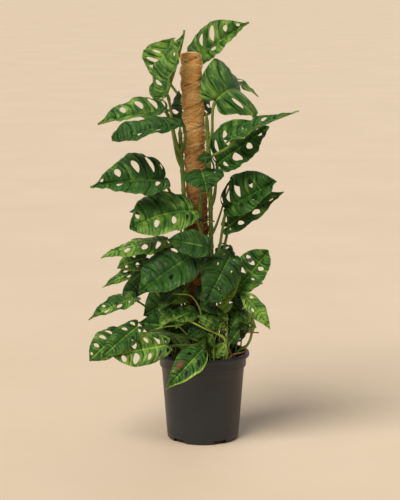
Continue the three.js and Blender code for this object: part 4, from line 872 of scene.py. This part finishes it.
# Climbers go up the pole at an angle from its front, swing round it by some degrees, and end at a
# height. Creepers go through the points given.
CLIMBERS = [("left", -62, 6, 642), ("right", 62, 6, 668), ("front", 8, 5, 480), ("back", 178, 8, 725)]
CREEPERS = [
    ("low", [(2, -56, 96), (2, -56, 172), (-2, -58, 184), (-18, -66, 200), (-44, -78, 216)]),
    ("side", [(62, -40, 96), (62, -40, 150), (63, -40, 176), (71, -43, 190), (88, -50, 202), (97, -56, 224),
              (97, -60, 248), (90, -66, 272)]),
]


def through(points, steps):
    """A smooth curve through points: centripetal Catmull-Rom, a cubic between each two points whose
    end directions weigh the neighbouring spans by the square root of their length."""
    points = np.array(points, float)
    padded = np.concatenate([[2 * points[0] - points[1]], points, [2 * points[-1] - points[-2]]])
    share = np.linspace(0, len(points) - 1, steps)
    span = np.minimum(share.astype(int), len(points) - 2)
    t = (share - span)[:, None]
    a, b, c, d = (padded[span + offset] for offset in range(4))
    before, along, after = (
        np.linalg.norm(q - p, axis=1, keepdims=True) ** 0.5 for p, q in ((a, b), (b, c), (c, d)))
    leave = ((b - a) / before - (c - a) / (before + along) + (c - b) / along) * along
    arrive = ((c - b) / along - (d - b) / (along + after) + (d - c) / after) * along
    return (b * (2 * t ** 3 - 3 * t ** 2 + 1) + leave * (t ** 3 - 2 * t ** 2 + t)
            + c * (3 * t ** 2 - 2 * t ** 3) + arrive * (t ** 3 - t ** 2))


def climbing_path(angle, swing, top):
    """A vine's way up the pole: points beside it that swing slowly round it, then straight down."""
    steps = int(np.ceil((top - SOIL_LEVEL) / 70))
    height = np.linspace(SOIL_LEVEL + 8, top, steps + 1)
    turn = np.radians(angle + swing * sin(height / 64 + angle))
    points = round_pole(turn, height, VINE_DISTANCE)
    return through([points[0] * (1, 1, 0) + (0, 0, VINE_FOOT), *points], 40 * steps)


def at_height(path, height):
    """The places on a rising path at one height or several."""
    return np.stack([np.interp(height, path[:, 2], path[:, axis]) for axis in range(3)], -1)


def stalk(leaf, path):
    """A leaf stalk: a cubic curve that leaves the vine up and outwards and arrives under the blade's
    foot, then bends into the midrib. Its radius falls from the sheath, then swells at the joint. The
    lowest stalks stand in the shade, and their tone is painted darker as painted shade."""
    base, forward, _, up, _ = blade_axes(leaf)
    start = at_height(path, leaf.height)
    radius = 2 if leaf.width < NARROW_BLADE else 3
    droop = np.radians(max(0, *(-side for side in leaf.fold)))
    end = base - up * (radius + 1.5) / cos(droop)
    length = np.linalg.norm(end - start)
    out = (start - pole_axis(start[2])) * (1, 1, 0)
    rise = np.array([0, 0, 0.75]) + 0.5 * out / np.linalg.norm(out)
    arrive = 0.6 * (end - start) / length + 0.25 * forward + 0.3 * up
    arrive /= np.linalg.norm(arrive)
    second = leaf.via or start + 0.35 * length * rise
    t = np.linspace(0, 1, 30)[:, None]
    curve = ((1 - t) ** 3 * start + 3 * t * (1 - t) ** 2 * np.array(second)
             + 3 * t ** 2 * (1 - t) * (end - 0.3 * length * arrive) + t ** 3 * end)
    curve = np.concatenate([curve, [end + 0.45 * (base - end) + 3 * forward, base + 9 * forward - 1.8 * up]])
    t = np.concatenate([t[:, 0], [1, 1]])
    fall = np.clip(t / 0.55, 0, 1)
    radii = radius * (1.45 - 0.5 * fall ** 2 * (3 - 2 * fall) + 0.3 * exp(-((t - 0.94) / 0.04) ** 2))
    radii[-2:] = radius * 0.75, radius * 0.3
    level = np.linalg.svd(np.gradient(curve, axis=0))[2][-1]
    # Stalks that start below SHADE_HEIGHT are painted darker: painted shade.
    return tube(curve, radii, 12, level, 0.1 + 0.5 * leaf.tone - 0.3 * (start[2] < SHADE_HEIGHT))


def stem(path, radius, tone, spacing=NODE_SPACING):
    """A vine's stem: a tube that thins upwards, with a swollen ring at every node."""
    run = np.concatenate([[0], np.cumsum(np.linalg.norm(np.diff(path, axis=0), axis=1))])
    apart = (run + spacing / 2) % spacing - spacing / 2
    ring = 0.22 * exp(-(apart / 2.6) ** 2)
    end = np.clip((run[-1] - run) / 16, 0.25, 1) ** 0.6
    return tube(path, radius * (1.08 - 0.25 * run / run[-1] + ring) * end, 16, (0.3, 0.9, 0.05), tone)


vines = [SimpleNamespace(name=name, radius=VINE_RADIUS, top=top, path=climbing_path(angle, swing, top))
         for name, angle, swing, top in CLIMBERS]
vines += [SimpleNamespace(name=name, radius=CREEPER_RADIUS, path=through(points, 120))
          for name, points in CREEPERS]
for vine in vines:
    stalks = [stalk(leaf, vine.path) for leaf in LEAVES if leaf.stem == vine.name]
    tube_piece("climbing_stem_" + vine.name, green_stem, "vine", "vine_" + vine.name,
               stem(vine.path, vine.radius, VINE_TONE), *stalks)

# Aerial roots: brown and wiry, they grow from the nodes of the climbing stems and grip the coir.
# They are dry, so they are matt.
root_skin = stem_skin("dry_aerial_root", "#4a2f1c", "#9a7a4c", 0.8)
draw = np.random.default_rng(5)
share = np.linspace(0, 1, ROOT_POINTS)
paths = []
for vine in vines[:len(CLIMBERS)]:
    height = each(200, vine.top - 15, ROOTS_PER_VINE)
    start = at_height(vine.path, height[:, 0])
    side = start - pole_axis(start[:, 2])
    turn = np.arctan2(side[:, :1], -side[:, 1:2])
    turn = turn + share * draw.choice([-1, 1], (ROOTS_PER_VINE, 1)) * each(0.5, 1.6, ROOTS_PER_VINE)
    drop = share * each(-22, 6, ROOTS_PER_VINE) + 2 * sin(7 * share)
    clear = VINE_DISTANCE - 2 - coir_radius(turn, height + drop)
    out = coir_radius(turn, height + drop) + 0.7 + clear * np.clip(1 - 2.2 * share, 0, 1)
    paths.append(round_pole(turn, height + drop, out))
paths = np.concatenate(paths)
radii = each(0.7, 1.2, len(paths)) * (1 - 0.6 * share)
gripping = tubes(paths, radii, 5, paths - pole_axis(paths[..., 2]), draw.uniform(0, 0.7, len(paths)))
tube_piece("aerial_roots", root_skin, "vine", None, gripping)

# ---- Young shoots ----------------------------------------------------------------------------
# Runners that have rooted at the foot of the pole: thin pale fleshy stems, each with one or two
# small whole leaves on short stalks.

SHOOT_RADIUS, SHOOT_TONE, SHOOT_SPACING, SHOOT_RIB = 1.8, 0.5, 26, 0.8
SHOOT_FOOT, SHOOT_SOIL = 130, 172


def young(base, tip, face, width, height, **others):
    """A shoot's small leaf: it has few side veins, low waves, no holes, and a coarser mesh."""
    usual = dict(tone=0.5, strips=5, wave=1, holes=((), ()), cells=(6, 9, 3))
    return grown("", base, tip, face, width, "", height, **{**usual, **others})


# Each shoot has a name, its place in the soil, the points that it rises through, and its leaves.
SHOOTS = [
    ("tall", (48, -54), [(48, -56, 236), (46, -58, 273), (44, -60, 292)], [
        young((42, -62, 298), (76, -72, 349), (-0.3, -0.9, 0.35), 36, 288, tone=0.75, fold=(36, 36)),
        young((52, -64, 290), (24, -78, 269), (-0.2, -0.7, 0.7), 26, 276, tone=0.85)]),
    ("curled", (64, -24), [(73, -28, 229), (73, -30, 259), (71, -32, 274)], [
        young((73, -32, 282), (89, -30, 302), (0.1, -0.8, 0.6), 28, 270, fold=(30, 30), arch=50),
        young((71, -36, 270), (50, -52, 288), (-0.1, -0.8, 0.6), 24, 256, tone=0.3)]),
    ("low", (40, -66), [(52, -68, 209), (54, -70, 222), (56, -72, 239)], [
        young((56, -74, 243), (71, -82, 268), (-0.2, -0.9, 0.4), 24, 235, tone=0.3),
        young((56, -76, 217), (72, -88, 242), (0.1, -0.9, 0.4), 26, 203, tone=0.35)]),
    ("narrow", (74, -6), [(78, -8, 200), (77, -12, 216)], [
        young((77, -14, 222), (82, -20, 273), (0.1, -0.95, 0.2), 28, 212, tone=0.2, fold=(30, 30))]),
    ("pale", (22, -70), [(22, -72, 212), (26, -76, 230), (28, -80, 243)], [
        young((26, -82, 251), (-11, -94, 272), (0, -0.75, 0.65), 32, 239),
        young((32, -80, 241), (38, -88, 267), (0.2, -0.9, 0.4), 22, 226)]),
    ("left", (-30, -52), [(-34, -54, 215), (-38, -56, 231), (-42, -58, 248)], [
        young((-44, -66, 254), (-66, -84, 284), (-0.2, -0.8, 0.5), 34, 245, tone=0.25),
        young((-38, -62, 239), (-14, -76, 272), (0.2, -0.8, 0.5), 34, 224, tone=0.2)]),
]


def shoot_stalk(leaf, path):
    """A short thin stalk: a quadratic curve that bows up a little and ends inside the blade's foot."""
    start = at_height(path, leaf.height)
    end = np.array(leaf.base, float) + 3 * blade_axes(leaf)[1]
    middle = (start + end) / 2 + (0, 0, 0.12 * np.linalg.norm(end - start))
    t = np.linspace(0, 1, 12)
    curve = (1 - t[:, None]) ** 2 * start + (2 * t * (1 - t))[:, None] * middle + t[:, None] ** 2 * end
    return tube(curve, 1.4 - 0.3 * t, 8, (0.4, 0.9, 0.1), 0.55)


for name, (x, y), rise, small_leaves in SHOOTS:
    path = through([(x, y, SHOOT_FOOT), (x, y, SHOOT_SOIL), *rise], 60)
    groups = [fleshy(*stem(path, SHOOT_RADIUS, SHOOT_TONE, SHOOT_SPACING))]
    for small in small_leaves:
        groups += [fleshy(*shoot_stalk(small, path)), blade_surface(small), midrib(small, SHOOT_RIB)]
    leaf_piece("young_shoot_" + name, "shoot", "shoot_" + name, *groups)

# ---- Undergrowth -----------------------------------------------------------------------------
# Runners crowd round the foot of the pole, each rooted in the soil and ending in one small leaf in
# the shade. Among them stand stems and stalks that have lost their leaves, whose pale tones are painted
# light where light gets in.

RUNNERS, RUNNER_POINTS, GOLDEN_ANGLE, CLEARS_RIM = 64, 24, 2.399963, 225

# Each runner has a way round the pole, a distance from it at the soil, a lean outwards, a height, a
# leaf that is some share of that height long, a tone, and a turn of the leaf to one side.
draw = np.random.default_rng(43)
groups = []
for turn, foot, lean, top, size, shade, aside in zip(
        GOLDEN_ANGLE * np.arange(RUNNERS), draw.uniform(36, 62, RUNNERS), draw.uniform(2, 26, RUNNERS),
        draw.uniform(182, 330, RUNNERS), draw.uniform(0.19, 0.25, RUNNERS), draw.uniform(0.15, 0.75, RUNNERS),
        draw.uniform(-1, 1, RUNNERS)):
    out, across = np.array([sin(turn), -cos(turn), 0]), np.array([cos(turn), sin(turn), 0])
    top_out = min(foot, 44) + lean
    end = out * top_out + (0, 0, top)
    path = through([out * foot + (0, 0, SOIL_LEVEL - 12), out * (foot + 2) + (0, 0, SOIL_LEVEL + 10),
                    out * (foot + top_out) / 2 + 5 * aside * across + (0, 0, (SOIL_LEVEL + top) / 2), end],
                   RUNNER_POINTS)
    reach = 0.6 * out + aside * across + (0, 0, max(0.5 - lean / 26, (CLEARS_RIM - top) / 40))
    length = size * top
    reach *= length / np.linalg.norm(reach)
    askew = abs(aside)
    small = grown("", end + 0.05 * reach, end + reach, 0.8 * out + (0, 0, 0.55), 0.66 * length, "", top,
                  fold=(8 + 10 * askew, 8), arch=24, wave=2, phase=turn, tone=shade, strips=5,
                  cells=(4, 6, 2), holes=((0, 5 * askew, 4), (0, 3, 4 * askew)))
    runner = tube(path, np.linspace(1.6, 1.0, RUNNER_POINTS), 7, across, shade)
    groups += [fleshy(*runner), blade_surface(small), midrib(small, 1)]
leaf_piece("undergrowth_runners", "shoot", None, *groups)

# The radius, tone and points of each bare stem. The last is a stem behind the pole with a tone of 0:
# it is painted dark as painted shade, to fill the shaded gap between the pole and the left vine.
BARE_STEMS = [
    (1.7, 0.8, [(-4, -50, 160), (-4, -60, 240), (-5, -74, 276), (-12, -78, 295), (-26, -80, 311),
                (-46, -78, 313), (-60, -70, 312)]),
    (1.9, 0.8, [(4, -54, 160), (0, -58, 200), (-8, -61, 213), (-26, -66, 222), (-38, -70, 236),
                (-50, -76, 247), (-76, -84, 248), (-105, -92, 241)]),
    (2.8, 1, [(46, -62, 160), (46, -66, 200), (42, -74, 223), (24, -80, 235), (4, -82, 244),
              (-38, -84, 266), (-50, -80, 272)]),
    (2.2, 1.1, [(49, -58, 160), (49, -62, 196), (48, -72, 240), (48, -70, 272)]),
    (1.3, 0.8, [(44, -50, 160), (44, -54, 240), (40, -56, 283), (30, -56, 307)]),
    (1.3, 0.7, [(38, -48, 160), (38, -50, 240), (34, -52, 280), (20, -52, 302)]),
    (1.9, 0.6, [(46, -52, 160), (45, -52, 186), (38, -52, 197), (14, -50, 199)]),
    (1.7, 0.6, [(26, -46, 160), (24, -46, 170), (10, -40, 196)]),
    (1.7, 0.6, [(58, -48, 160), (57, -50, 181), (50, -50, 204)]),
    (3.2, 0, [(-20, 30, 160), (-22, 30, 220), (-27, 30, 330), (-30, 31, 400), (-27, 27, 440)]),
]
groups = []
for radius, tone, points in BARE_STEMS:
    path = through(points, 60)
    groups.append(tube(path, radius * np.linspace(1.15, 0.55, 60), 10, (0.3, 0.9, 0.05), tone))
tube_piece("undergrowth_stems", green_stem, "shoot", None, *groups)

# ---- Ties ------------------------------------------------------------------------------------
# Two lengths of twisted cord, one dark green and one pale yellow, pulled tight round the pole and
# the stems in front of it, and knotted.

TIE_RADIUS, TIE_SLACK, COIR_RELIEF = 0.9, 1.7, 2.6
TIES = [
    ("green", 457, ["front"], "#16331f", "#3f7a52"),
    ("yellow", 450, ["front", "right"], "#94803a", "#e0cb7c"),
]


def tie_path(height, held):
    """A loop pulled tight round circles: at each angle, the nearest straight line that touches the
    circles from outside, which are the coir and every stem that the tie holds."""
    axis = pole_axis(float(height))
    circles = [(0, 0, COIR_RADIUS + COIR_RELIEF + TIE_RADIUS)]
    for vine in vines:
        if vine.name in held:
            x, y, _ = at_height(vine.path, height) - axis
            circles.append((x, y, vine.radius + TIE_SLACK + TIE_RADIUS))
    angle = np.linspace(0, 2 * pi, 121)[:, None]
    lean = np.arange(-1.5, 1.5, 0.05)
    support = [x * cos(angle + lean) + y * sin(angle + lean) + size for x, y, size in circles]
    reach = (np.max(support, axis=0) / cos(lean)).min(1)
    return axis + np.stack([*swung(reach, 0, angle[:, 0]), 0 * reach], -1)


# Cotton, dyed and twisted: a matt, soft-edged ply that slants across it every 2.9 mm.
for colour, height, held, dark, pale in TIES:
    twine = twisted("tie_" + colour + "_twisted_cotton", dark, pale, 0.75, 2.2, 0.5, 0.0004)
    loop = tie_path(height, held)
    knot_at = loop[np.argmin(loop[:, 1])] - (0, 1.2, 0)
    t = np.linspace(0, 1, 40)[:, None] * 2 * pi
    knot = knot_at + np.concatenate([2 * cos(t) + 0.6 * cos(3 * t), sin(2 * t), 1.6 * sin(t)], 1)
    tail = np.linspace(0, 1, 8)[:, None]
    tails = [knot_at + tail * (side, -2, -9) + 1.5 * sin(3 * tail) for side in (3, -4)]
    tube_piece("plant_tie_" + colour, twine, "tie_" + colour, "tie_" + colour,
               *[tube(path, TIE_RADIUS, 8, (0.1, 0.2, 1), 0.5) for path in (loop, knot, *tails)])

# ---- Dry root and dead stalk -----------------------------------------------------------------
# An old aerial root that arches over the rim's inside, and the stump of a dead leaf stalk. Both have
# dried brown and wrinkled. Thin rootlets lie on the soil round them.

DRIED_POINTS, ROOTLETS, ROOTLET_POINTS = 70, 90, 12
DRIED = [
    ("dry_root", 1.5, [(48, -64, 152), (48, -64, 168), (58, -63, 185), (79, -58, 190), (90, -38, 189),
                       (86, -24, 185), (78, -17, 175), (77, -16, 166), (77, -16, 152)]),
    ("dead_stalk", 1.4, [(86, -62.4, 232), (98, -62.2, 232), (112, -61.6, 231)]),
]

step = np.arange(DRIED_POINTS)
wrinkle = 1 + 0.16 * sin(step * 1.7) + 0.1 * sin(step * 0.6)
for name, radius, points in DRIED:
    dried = tube(through(points, DRIED_POINTS), radius * wrinkle, 10, (0.1, 0.3, 0.95), 0.45)
    tube_piece(name + "_bark", root_skin, "dry_root", name, dried)

draw = np.random.default_rng(31)
share = np.linspace(0, 1, ROOTLET_POINTS)
away, around = 74 * np.sqrt(each(0.1, 1, ROOTLETS)), each(0, 2 * pi, ROOTLETS)
heading = each(0, 2 * pi, ROOTLETS) + draw.normal(0, 1.2, (ROOTLETS, 1)) * share
step = each(10, 34, ROOTLETS) / ROOTLET_POINTS
x = away * cos(around) + np.cumsum(step * cos(heading), 1)
y = away * sin(around) + np.cumsum(step * sin(heading), 1)
inside = np.minimum(1, LITTER_RADIUS / np.hypot(x, y))
x, y = x * inside, y * inside
z = soil_height(x, y) + LITTER_LIFT + each(0, 4, ROOTLETS) * sin(pi * share) ** 2
radii = each(0.3, 0.8, ROOTLETS) * (1 - 0.5 * share)
laid = tubes(np.stack([x, y, z], -1), radii, 4, (0, 0, 1), draw.uniform(0, 0.8, ROOTLETS))
tube_piece("soil_rootlets", root_skin, "soil", None, laid)

# ---- Sizes and finish ------------------------------------------------------------------------
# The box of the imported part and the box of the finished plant, lowest and highest corners.

whole_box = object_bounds()
